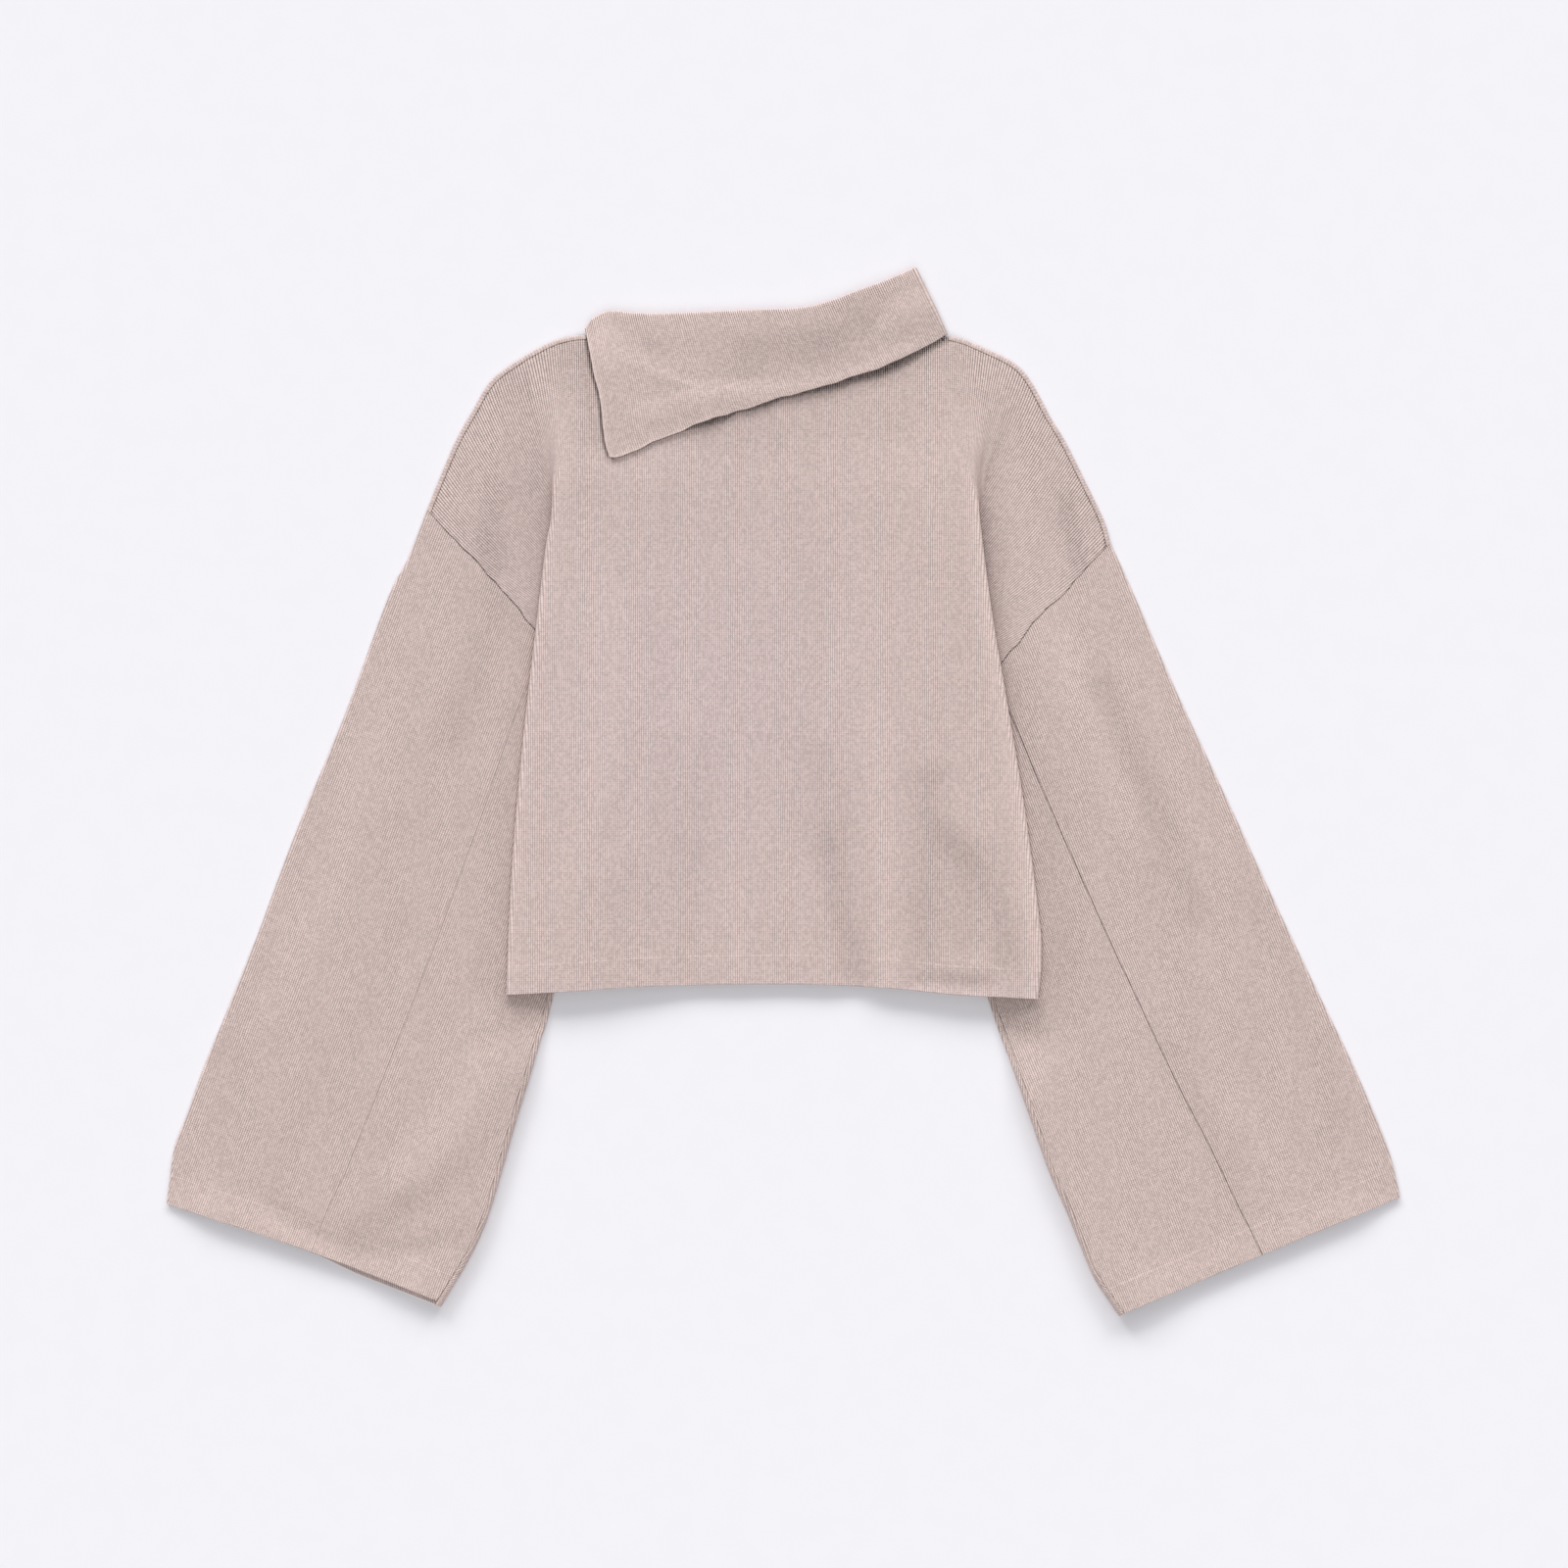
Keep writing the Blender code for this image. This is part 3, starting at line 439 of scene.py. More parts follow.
def body_grid(neck, hem_rise):
    """Points half-way between front and back, from armhole to armhole and shoulder to hem."""
    outward = [side.outward() for side in body_sides]
    left, right = outward
    neckline = along(spline(neck), np.linspace(0, 1, NECK_STEPS + 1))
    top = np.vstack([left[0, 0, :2], neckline, right[0, 0, :2]])
    hem = spline(HEM)
    for points in outward:
        points[-1, :, 1] = np.interp(points[-1, :, 0], hem[:, 0], hem[:, 1])
        points[..., 2] += PITCH * collar_lift(points[..., 0], points[..., 1])
    step = np.linspace(0, STEP_RUN, STEP_STEPS + 1)
    rows = []
    for row, station in enumerate(STATIONS):
        starts = []
        for side, points in zip(body_sides, outward):
            start = side.step_start(side.height_at(station))
            inside_edge = np.linspace(points[row, 0, 0], start, EDGE_STEPS + 1, endpoint=False)
            starts.append(np.concatenate([inside_edge, start - side.sign * step]))
        between = np.linspace(starts[0][-1], starts[1][-1], MIDDLE_STEPS + 1)[1:-1]
        stepped = np.concatenate([starts[0], between, starts[1][::-1]])
        x = mix(top[:, 0], stepped, ease(station / TOP_LINE_FADES))
        share = (x - x[0]) / (x[-1] - x[0])
        top_share = (top[:, 0] - top[0, 0]) / (top[-1, 0] - top[0, 0])
        neck_dip = top[:, 1] - mix(top[0, 1], top[-1, 1], top_share)
        hem_dip = np.interp(x, hem[:, 0], hem[:, 1]) - mix(left[-1, 0, 1], right[-1, 0, 1], share)
        down = (left[0, 0, 1] - left[row, 0, 1]) / (left[0, 0, 1] - left[-1, 0, 1])
        y = mix(left[row, 0, 1], right[row, 0, 1], share) + down * hem_dip
        y = y + max(0.0, 1 - station / NECK_RUNS_OUT) * neck_dip
        z = height_of(front_layer(x, y) - 0.5)
        rows.append(np.stack([x, y, z], 1))
    centre = np.array(rows)
    grid = np.concatenate([left[:, ::-1], centre[:, 1:-1], right], axis=1)
    grid[-1, :, 1] += hem_rise
    return grid


def body_cloth(grid):
    """Where each point of the body lies in the flat panel, u across the wales and v along them."""
    steps = np.hypot(np.diff(grid[..., 0], axis=1), np.diff(grid[..., 2], axis=1))
    cloth = grid[..., :2].copy()
    stations = STATIONS[:, None]
    order = np.arange(SIDE_COLUMNS + 1)
    past_fold = np.clip((order - ARC_STEPS) / UNDER_STEPS, 0, 1)[None]
    folded = ease_between(stations, TURN_IS_FOLD)
    half_width = TURN_HALF_WIDTH * (1 - ease_between(stations, TURN_NARROWS)) + LEAST_TURN_HALF_WIDTH
    for side in body_sides:
        columns = slice(-SIDE_COLUMNS - 1, None)
        middle = slice(-SIDE_COLUMNS - NECK_STEPS // 2, -SIDE_COLUMNS - 1)
        side_steps = steps[:, -SIDE_COLUMNS:]
        if side.sign < 0:
            columns = slice(SIDE_COLUMNS, None, -1)
            middle = slice(SIDE_COLUMNS + 1, SIDE_COLUMNS + NECK_STEPS // 2)
            side_steps = steps[:, :SIDE_COLUMNS][:, ::-1]
        run = np.concatenate([np.zeros((len(grid), 1)), np.cumsum(side_steps, axis=1)], axis=1)
        part = grid[:, columns]
        straight = np.stack([part[:, :1, 0] + side.sign * run, part[..., 1]], axis=2)
        for place, flat, past in ((columns, straight, past_fold), (middle, cloth[:, middle], 0.0)):
            part = grid[:, place]
            past_edge = (part[..., 0] - x_at(side.edge, part[..., 1])) * side.sign
            turned = mix(ease(0.5 + past_edge / 2 / half_width), past, folded)
            fanned = side.shoulder_cloth(part[..., 0], part[..., 1])
            cloth[:, place] = mix(flat, fanned, turned[..., None])
    return cloth


def linear(hex_colour):
    """Linear colour of an sRGB hex colour."""
    channels = [int(hex_colour[place:place + 2], 16) / 255 for place in (1, 3, 5)]
    return [c / 12.92 if c <= 0.04045 else ((c + 0.055) / 1.055) ** 2.4 for c in channels] + [1.0]


def add_node(tree, kind, inputs, **settings):
    """A shader node with its settings made and its inputs linked or set."""
    made = tree.nodes.new("ShaderNode" + kind)
    for name, value in settings.items():
        setattr(made, name, value)
    for key, value in inputs.items():
        if isinstance(value, bpy.types.Node):
            value = value.outputs[0]
        if isinstance(value, bpy.types.NodeSocket):
            tree.links.new(value, made.inputs[key])
        else:
            made.inputs[key].default_value = value
    return made


# Wales and courses 1.6 mm apart, as in 12 gauge knitwear.
WALE = 1.6
COURSE = 1.6
BAND_LINE = 20.5
WARM_YARN = linear("#D3BEB8")
COOL_YARN = linear("#D2BFBE")


def rose_beige_rib_knit(name):
    """Soft matt yarn in fine ribs: to the eye, close upright lines with a grain of small stitches.

    Scales of noise are per metre of cloth."""
    material = bpy.data.materials.new(name)
    material.use_nodes = True
    tree = material.node_tree
    shader = tree.nodes["Principled BSDF"]

    def maths(operation, *values):
        return add_node(tree, "Math", dict(enumerate(values)), operation=operation)

    def noise(vector, scale, detail=2.0):
        return add_node(tree, "TexNoise", {"Vector": vector, "Scale": scale, "Detail": detail})

    def mark(label):
        return add_node(tree, "Attribute", {}, attribute_name=label).outputs["Fac"]

    def line(distance, full, gone):
        return add_node(tree, "MapRange", {0: distance, 1: full, 2: gone, 3: 1.0, 4: 0.0},
                        interpolation_type="SMOOTHSTEP")

    def add_up(*parts):
        """The sum of values, and of pairs of a value and its weight."""
        values = [maths("MULTIPLY", *part) if isinstance(part, tuple) else part for part in parts]
        total = values[0]
        for value in values[1:]:
            total = maths("ADD", total, value)
        return total

    cloth = add_node(tree, "UVMap", {}, uv_map="Cloth")
    split = add_node(tree, "SeparateXYZ", {0: cloth})
    drawn_out = add_node(tree, "Mapping", {"Vector": cloth, "Scale": (1, 0.25, 1)})
    wander = maths("MULTIPLY", maths("SUBTRACT", noise(drawn_out, 60.0), 0.5), 0.9)
    phase = maths("ADD", maths("DIVIDE", split.outputs[0], WALE * MM), wander)
    off_crest = maths("ABSOLUTE", maths("SUBTRACT", maths("FRACT", phase), 0.5))
    crest = maths("SUBTRACT", 1.0, maths("POWER", maths("MULTIPLY", off_crest, 2.0), 2.0))
    rows = maths("ADD", maths("DIVIDE", split.outputs[1], COURSE * MM), maths("MULTIPLY", off_crest, 1.2))
    across_row = maths("COSINE", maths("MULTIPLY", rows, 2 * math.pi))
    stitch = maths("ADD", maths("MULTIPLY", across_row, 0.5), 0.5)
    relief = maths("MULTIPLY", crest, maths("ADD", maths("MULTIPLY", stitch, 0.4), 0.6))
    relief = maths("MULTIPLY", maths("SUBTRACT", relief, 0.53), mark("RibDepth"))

    place = add_node(tree, "CombineXYZ", {0: maths("FLOOR", phase), 1: maths("FLOOR", rows)})
    each_stitch = add_node(tree, "TexWhiteNoise", {0: place})
    yarn_streaks = noise(drawn_out, 600.0)
    grain = noise(cloth, 620.0, 3.0)
    clouds = noise(cloth, 11.0)
    band_line = line(maths("ABSOLUTE", maths("SUBTRACT", mark("FromOpenEdge"), BAND_LINE)), 0.3, 1.0)
    seam_line = maths("MULTIPLY", line(mark("FromSeam"), 0.1, 0.7), maths("MULTIPLY", grain, 2.0))
    # A dark line of painted shade where a layer goes under another.
    painted_overlap_line = line(mark("FromOverlap"), 0.4, 1.7)
    # The tone paints light and shade: the ribs' relief, drawn in the tone as well as in the bump, darkens
    # their grooves as painted shade and lightens their crests as painted light, and the painted shading
    # mark lightens or darkens the yarn.
    tone = add_up(
        0.633,
        (each_stitch, 0.21),
        (yarn_streaks, 0.16),
        (grain, 0.145),
        (clouds, 0.06),
        (relief, 0.60),
        (band_line, 0.08),
        (seam_line, -0.45),
        (painted_overlap_line, -0.58),
        (mark("PaintedShading"), 0.04),
    )
    yarn = add_node(tree, "Mix", {0: mark("Coolness")}, data_type="RGBA")
    yarn.inputs[6].default_value = WARM_YARN
    yarn.inputs[7].default_value = COOL_YARN
    colour = add_node(tree, "Mix", {0: tone}, data_type="RGBA", clamp_factor=False)
    colour.inputs[6].default_value = linear("#000000")
    tree.links.new(yarn.outputs[2], colour.inputs[7])
    tree.links.new(colour.outputs[2], shader.inputs["Base Color"])

    height = add_up(relief, (grain, 0.9), (band_line, 0.4), (seam_line, -0.6))
    bump = add_node(tree, "Bump", {"Height": height, "Strength": 0.6, "Distance": 0.0004})
    tree.links.new(bump.outputs[0], shader.inputs["Normal"])
    shader.inputs["Roughness"].default_value = 0.9
    shader.inputs["Specular IOR Level"].default_value = 0.25
    shader.inputs["Sheen Weight"].default_value = 0.12
    shader.inputs["Sheen Roughness"].default_value = 0.6
    return material


knit = rose_beige_rib_knit("rose_beige_rib_knit")
# What the knit reads at each point, and its value where nothing is marked: the distance from an
# open edge, a seam and the edge of cloth that lies on top, which is below zero where it covers the
# point and near which a dark line of painted shade is drawn; the depth of the ribs, which sets their
# bump and the painted shade of their grooves; the painted light and shade, in mm, that lightens the
# yarn or darkens it below zero, together with each piece's plain lightness; and how far the yarn
# goes from its warm colour to its cool one.
NO_MARKS = {
    "FromOpenEdge": 900.0,
    "FromSeam": 90.0,
    "FromOverlap": 90.0,
    "RibDepth": 1.0,
    "PaintedShading": 0.0,
    "Coolness": 0.1,
}


def cloth_wall(name, upper, lower, cloth, marks, cloth_at=None):
    """A thin shell of cloth between two grids of points, with a rounded rim."""
    rows, columns = upper.shape[:2]
    if cloth_at is None:
        cloth_at = np.ones((rows - 1, columns - 1), dtype=bool)
    row, column = np.nonzero(cloth_at)
    corner = row * columns + column
    quads = np.stack([corner, corner + columns, corner + columns + 1, corner + 1], axis=1)
    used, quads = np.unique(quads, return_inverse=True)
    quads = quads.reshape(-1, 4)
    top = upper.reshape(-1, 3)[used]
    under = lower.reshape(-1, 3)[used]
    starts = quads.ravel()
    stops = np.roll(quads, -1, axis=1).ravel()
    paired = set(zip(stops.tolist(), starts.tolist()))
    rim = [pair for pair in zip(starts.tolist(), stops.tolist()) if pair not in paired]
    outward = np.zeros_like(top)
    thick = top - under
    for start, stop in rim:
        away = np.cross(top[stop] - top[start], thick[start])
        away /= max(np.linalg.norm(away), 1e-9)
        outward[start] += away
        outward[stop] += away
    on_rim = sorted({index for pair in rim for index in pair})
    out = outward[on_rim]
    out /= np.maximum(np.linalg.norm(out, axis=1, keepdims=True), 1e-9)
    edge = (top[on_rim] + under[on_rim]) / 2 + out * RIM_ROUND
    below = len(used)
    edge_place = {index: 2 * below + order for order, index in enumerate(on_rim)}
    faces = quads.tolist() + (quads[:, ::-1] + below).tolist()
    for start, stop in rim:
        faces.append((stop, start, edge_place[start], edge_place[stop]))
        faces.append((edge_place[stop], edge_place[start], start + below, stop + below))
    points = np.concatenate([top, under, edge]) * MM
    points[:, 2] = np.maximum(points[:, 2], 0.0)
    mesh = bpy.data.meshes.new(name)
    mesh.from_pydata(points.tolist(), [], faces)
    mesh.shade_smooth()
    ends = np.empty(2 * len(mesh.edges), dtype=np.int64)
    mesh.edges.foreach_get("vertices", ends)
    ends = np.sort(ends.reshape(-1, 2), axis=1)
    rim_ends = np.sort(np.concatenate([np.array(rim), np.array(rim) + below]), axis=1)
    sharp = np.isin(ends @ (len(points), 1), rim_ends @ (len(points), 1))
    mesh.attributes.new("sharp_edge", "BOOLEAN", "EDGE").data.foreach_set("value", sharp)
    mesh.materials.append(knit)

    def everywhere(values):
        values = values.reshape((rows * columns,) + values.shape[2:])[used]
        return np.concatenate([values, values, values[on_rim]])

    corners = np.empty(len(mesh.loops), dtype=np.int32)
    mesh.loops.foreach_get("vertex_index", corners)
    layer = mesh.uv_layers.new(name="Cloth")
    layer.data.foreach_set("uv", (everywhere(cloth)[corners] * MM).ravel())
    for label, plain in NO_MARKS.items():
        attribute = mesh.attributes.new(label, "FLOAT", "POINT")
        values = marks.get(label, np.full((rows, columns), plain))
        attribute.data.foreach_set("value", everywhere(values))
    piece = bpy.data.objects.new(name, mesh)
    bpy.context.scene.collection.objects.link(piece)
    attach(piece, "root")
    return piece


body_sides = [Side("left"), Side("right")]
below_underarm = int(np.argmin(abs(STATIONS - UNDER_FOLD_ENDS)))
body_cloth_at = np.ones((len(STATIONS) - 1, NECK_STEPS + 2 * SIDE_COLUMNS + 2), dtype=bool)
body_cloth_at[below_underarm:, :ARC_STEPS + SHOULDER_STEPS] = False
body_cloth_at[below_underarm:, -ARC_STEPS - SHOULDER_STEPS:] = False


def shoulder_inset(grid, inset):
    """The panel with its shoulder edges drawn in; also the way out from them, 0 along the neck."""
    ways = np.zeros_like(grid[0, :, :2])
    for side in body_sides:
        part = (grid[0, :, 0] - side.shoulder[0, 0]) * side.sign > 0
        tangent = np.gradient(grid[0, :, :2][part], axis=0)
        tangent /= np.linalg.norm(tangent, axis=1, keepdims=True)
        square = np.stack([-tangent[:, 1], tangent[:, 0]], axis=1)
        point = 0 if side.sign < 0 else -1
        up_armhole = side.armhole[0] - side.armhole[WRAP_WAY_POINTS]
        square[point] = up_armhole / (up_armhole @ square[point])
        ways[part] = square
    near_top = np.maximum(0.0, 1 - STATIONS / SHOULDER_WRAP_FADES)[:, None, None]
    moved = grid.copy()
    moved[..., :2] -= near_top * ways[None] * inset
    return moved, ways


def from_hem(grid):
    """Distance of each point of the body from the hem."""
    hem = spline(HEM)
    return np.abs(grid[..., 1] - np.interp(grid[..., 0], hem[:, 0], hem[:, 1]))


def from_armholes(grid):
    """Distance of each point of the body from its nearest armhole seam."""
    return np.minimum(*[distance_to(side.armhole, grid[..., 0], grid[..., 1]) for side in body_sides])


def from_shoulders(grid):
    """Distance of each point of the body from its nearest shoulder edge."""
    return np.minimum(*[distance_to(side.shoulder, grid[..., 0], grid[..., 1]) for side in body_sides])


def stretched_ribs(grid):
    """Depth of the ribs, which stand out where the cloth is stretched along the shoulder seam."""
    return BODY_RIBS + SHOULDER_RIBS * np.exp(-(from_shoulders(grid) / SHOULDER_RIBS_REACH) ** 2)


back_plan, shoulder_ways = shoulder_inset(body_grid(BACK_NECK, BACK_HEM_RISE), SHOULDER_WRAP_INSET)
back_normal = normals_of(back_plan)
back_middle = back_plan - back_normal * PITCH / 2
wraps = []
for turn in np.linspace(math.pi, 0, WRAP_ARC_STEPS + 1)[:-1]:
    arc = back_middle[0].copy()
    arc[:, :2] += shoulder_ways * PITCH / 2 * math.sin(turn)
    arc[:, 2] += PITCH / 2 * (1 - math.cos(turn))
    wraps.append(arc)
wrap_end = wraps[0].copy()
wrap_end[:, :2] -= shoulder_ways * SHOULDER_WRAP_RUN
back_surface = np.concatenate([[wrap_end], wraps, back_middle])
wrap_rows = len(wraps) + 1
on_shoulder = np.linalg.norm(shoulder_ways, axis=1) > 0.5
wrap_at = np.repeat((on_shoulder[1:] & on_shoulder[:-1])[None], wrap_rows, axis=0)
back_cloth_at = np.concatenate([wrap_at, body_cloth_at])
neck_filler = back_surface[:wrap_rows].copy()
for row in range(wrap_rows):
    neck_filler[row, :, 1] += (wrap_rows - row) * WRAP_ROW_GAP
back_surface[:wrap_rows][:, ~on_shoulder] = neck_filler[:, ~on_shoulder]
back_normal = normals_of(back_surface)
back_coordinates = body_cloth(back_plan)
wrap_travel = (np.arange(wrap_rows, 0, -1) * WRAP_ROW_GAP)[:, None, None]
wrap_coordinates = back_coordinates[:1] + wrap_travel * np.array([0.0, 1.0])
on_wrap = wrap_coordinates.shape[:2]
back_ribs = stretched_ribs(back_surface)
back_ribs[:wrap_rows] *= WRAP_RIBS
back_panel = cloth_wall(
    "back_panel_knit",
    back_surface + back_normal * CLOTH / 2,
    back_surface - back_normal * CLOTH / 2,
    np.concatenate([wrap_coordinates, back_coordinates]),
    {
        "FromOpenEdge": np.concatenate([np.full(on_wrap, NO_MARKS["FromOpenEdge"]), from_hem(back_plan)]),
        "FromSeam": np.concatenate([np.full(on_wrap, NO_MARKS["FromSeam"]), from_armholes(back_plan)]),
        "RibDepth": back_ribs,
    },
    back_cloth_at,
)
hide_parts("back_panel")

# ---------------------------------------------------------------------------------------------
# Front panel. The same rib knit, cut lower at the neck. It lies on the back, is folded under
# with it at the sides, and is linked to it along the shoulders.

FRONT_NECK = ((-142, 336), (-115, 318), (-71.5, 301), (-10, 294.5), (44, 304), (87, 322), (118, 335.5))
FRONT_CLEARANCE = 0.5
# Edges of the collar that lie on the front: the flap's lower edge, and its open left end.
FLAP_EDGE = ((-127.5, 245.5), (-119, 246.5), (-97, 255.8), (-84, 261.5), (-68, 268.3), (-50, 275),
             (-40.5, 277.2), (-14, 286), (26.5, 297.5), (71.5, 312), (107.5, 328.5), (122, 337))
OPEN_END = ((-145.4, 340), (-141.2, 318.5), (-138.9, 306), (-135.6, 294), (-133.3, 280), (-132.3, 268),
            (-130.6, 256), (-127.5, 245.5))
FLAP_EDGE_WAVES = (
    {"length": 31, "depth": 0.35, "start": 0.4},
    {"length": 17, "depth": 0.2, "start": 2.1},
    {"length": 53, "depth": 0.3, "start": 4.0},
)
FLAP_WAVES_START = 12.0
# How faint the dark line of painted shade beside the folded edge is, at the neck and further down,
# and the stations between which it grows clear.
FOLD_LINE_FAINTNESS = (1.8, 0.8)
FOLD_LINE_CLEARS = (0.06, 0.5)
# Painted shade that the folded edge gives the cloth below it: station, depth and reach.
FOLD_SHADES = {
    "left": ((0.06, 0.0, 26), (0.33, 4.0, 30), (0.47, 4.4, 30), (0.62, 2.8, 24),
             (0.75, 2.2, 18), (1.3, 2.6, 18)),
    "right": ((0.06, 0.0, 20), (0.27, 5.6, 14), (0.5, 6.6, 14), (0.72, 3.2, 14),
              (0.9, 4.2, 20), (1.0, 3.6, 24), (1.3, 2.8, 32)),
}
# Painted highlight that the same edge catches on its upper side: at the fold itself and just inside
# it, how far inward each of its steps lies, and the stations between which it grows.
FOLD_GLEAMS = {"left": (1.6, 1.0), "right": (4.2, 2.6)}
FOLD_GLEAM_STEPS = (-1, 0.5, 4, 15)
FOLD_GLEAM_GROWS = (0.1, 0.3)
BODY_LIGHTNESS = 0.75
# The yarn looks cooler in the middle of the front and along its hem.
COOL_CENTRE = (-60, 70)
COOL_REACH = (150, 180)
COOL_MIDDLE = 0.7
COOL_HEM = 0.4
COOL_HEM_RUN = 34.0
# How wide the flap's painted shadow falls, at an X: it gapes most near the right shoulder.
FLAP_SHADOW_SPREADS = ((-115, 0.6), (-90, 0.7), (-74, 0.6), (-58, 3.6), (-46, 4.4), (-34, 1.8),
                       (-22, 2.2), (-10, 3.2), (2, 2.2), (40, 4.0), (60, 5.0), (84, 5.4), (110, 4.2))
# The same along the open end.
OPEN_END_SPREAD = 2.2
TAUT_ROUNDS = 600
SETTLE_ROUNDS = 10
SEAM_GAP = 0.3
SHOULDER_SEAM = SHOULDER_WRAP_INSET + SHOULDER_WRAP_RUN + SEAM_GAP
SHOULDER_SEAM_HALF_WIDTH = 0.3
RISE_TAPER_COLUMNS = 10
FRONT_SEED = 4
# The swell, the folds and the unevenness start this far in from the folded edges, and flatten
# towards the neck between two heights.
FRONT_SWELL = 2.4
FRONT_SWELL_STARTS = (12, 72)
FRONT_FOLDS_START = (8, 38)
UNEVENNESS_STARTS = (0, 20)
NECK_FLATTENS = (215, 265)
NECK_FLATTENS_BY = 0.75
FRONT_FOLDS = (
    {"from": (72, 0), "to": (76, -136), "bow": 1, "fades": 60, "width": 11, "height": 1.5},
    {"from": (34, -50), "to": (52, -134), "bow": -1, "fades": 22, "width": 12, "height": -2.8},
    {"from": (109, 4), "to": (106, -122), "bow": 0, "fades": 14, "width": 13, "height": -2.6},
    {"from": (124, -42), "to": (134, -110), "bow": 2, "fades": 18, "width": 11, "height": -2.2},
    {"from": (138, -52), "to": (166, -122), "bow": 3, "fades": 18, "width": 13, "height": -3.1},
    {"from": (106, -141), "to": (142, -143), "bow": 0, "fades": 14, "width": 7, "height": -2.0},
    {"from": (-110, 40), "to": (-124, -30), "bow": 2, "fades": 24, "width": 10, "height": -0.9},
    {"from": (-63, -58), "to": (-68, -136), "bow": -2, "fades": 20, "width": 11, "height": -0.7},
    {"from": (-36, -84), "to": (-32, -134), "bow": 2, "fades": 20, "width": 9, "height": 0.7},
    {"from": (-112, -66), "to": (-124, -132), "bow": 2, "fades": 20, "width": 9, "height": -0.5},
    {"from": (-128, 110), "to": (-122, -40), "bow": 4, "fades": 40, "width": 26, "height": 0.8},
    {"from": (-100, 118), "to": (-90, -8), "bow": 4, "fades": 40, "width": 10, "height": -0.5},
    {"from": (20, 120), "to": (18, -20), "bow": 3, "fades": 50, "width": 24, "height": -0.7},
)
# Painted shades beside and below the collar, which keeps some light off the front.
SHADES_BY_COLLAR = (
    {"from": (-157, 318), "to": (-146, 262), "bow": 0, "fades": 16, "width": 13, "height": -2.2},
    {"from": (-147, 318), "to": (-138, 264), "bow": 0, "fades": 12, "width": 5, "height": -2.8},
    {"from": (-60, 254), "to": (90, 276), "bow": 0, "fades": 40, "width": 30, "height": -1.0},
    {"from": (36, 294), "to": (102, 318), "bow": 0, "fades": 14, "width": 8, "height": -2.0},
)
# Painted shade on the shoulders, in the shape of shallow dips that the cloth itself does not have.
SHOULDER_PAINTED_SHADES = (
    {"from": (-213, 216), "to": (-218, 162), "bow": 0, "fades": 14, "width": 11, "height": -3.2},
    {"from": (-238, 198), "to": (-208, 166), "bow": 0, "fades": 10, "width": 10, "height": -1.4},
    {"from": (-198, 300), "to": (-160, 284), "bow": 0, "fades": 12, "width": 10, "height": -1.8},
    {"from": (208, 208), "to": (218, 170), "bow": 0, "fades": 12, "width": 8, "height": -3.4},
)


def front_rise(x, y):
    """How far the front panel stands above the layer it lies at."""
    inner = [(x - x_at(side.edge, y)) * -side.sign for side in body_sides]
    inward = np.minimum(*inner)
    swell = FRONT_SWELL * ease_between(inward, FRONT_SWELL_STARTS)
    neckward = 1 - NECK_FLATTENS_BY * ease_between(y, NECK_FLATTENS)
    folds = soft_rise(FRONT_FOLDS, x, y) * ease_between(inward, FRONT_FOLDS_START)
    uneven = unevenness(x, y, FRONT_SEED) * ease_between(inward, UNEVENNESS_STARTS)
    return swell * neckward + folds * neckward + uneven


def wavy(edge):
    """The flap's lower edge with the slight waves of a knitted edge."""
    travelled = travelled_along(edge)
    waves = np.zeros_like(travelled)
    for wave in FLAP_EDGE_WAVES:
        waves += wave["depth"] * np.sin(travelled * 2 * math.pi / wave["length"] + wave["start"])
    steady = ease(travelled / FLAP_WAVES_START) * (1 - (travelled / travelled[-1]) ** 6)
    return np.stack([edge[:, 0], edge[:, 1] + waves * steady], axis=1)


def from_body_edge(side, x, y):
    """Distance of each place from the body's folded edge and hem, below zero under the body."""
    hem = spline(HEM)
    distance = distance_to(np.concatenate([side.edge, hem[::side.sign][::-1]]), x, y)
    under = ((x - x_at(side.edge, y)) * side.sign < 0) & (y > np.interp(x, hem[:, 0], hem[:, 1]))
    return np.where(under, -distance, distance)


def beside_body(side, x, y):
    """Marks of cloth that lies lower than the body's folded edge: the distance for its dark line of painted
    shade, and its painted shade.
    """
    distance = from_body_edge(side, x, y)
    stations, depths, reaches = np.array(FOLD_SHADES[side.name]).T
    station = side.station_at(y)
    reach = np.interp(station, stations, reaches)
    shade = np.interp(station, stations, depths) * np.exp(-(distance / reach) ** 2)
    return distance + mix(*FOLD_LINE_FAINTNESS, ease_between(station, FOLD_LINE_CLEARS)), -shade


def from_collar(x, y):
    """Distance of each place from the collar's edges, below zero under it, and less where it gapes, so that
    the painted shadow falls wider there.
    """
    flap, end = wavy(spline(FLAP_EDGE)), spline(OPEN_END)
    spreads = np.array(FLAP_SHADOW_SPREADS, dtype=float).T
    from_flap = distance_to(flap, x, y) / np.interp(x, *spreads)
    from_end = distance_to(end, x, y) / OPEN_END_SPREAD
    under = (y > np.interp(x, flap[:, 0], flap[:, 1])) & (x > np.interp(y, end[::-1, 1], end[::-1, 0]))
    return np.minimum(from_flap, from_end) * np.where(under, -1, 1)


def drawn_taut(height, rounds, ease_rounds):
    """Heights of cloth that spans the hollows of what it lies on, instead of dipping into them."""
    held = height.copy()
    for turn in range(rounds + ease_rounds):
        padded = np.pad(held, 1, mode="edge")
        mean = (padded[2:, 1:-1] + padded[:-2, 1:-1] + padded[1:-1, 2:] + padded[1:-1, :-2]) / 4
        held = np.maximum(height, mean) if turn < rounds else mean
        held[:, 0], held[:, -1] = height[:, 0], height[:, -1]
    return held


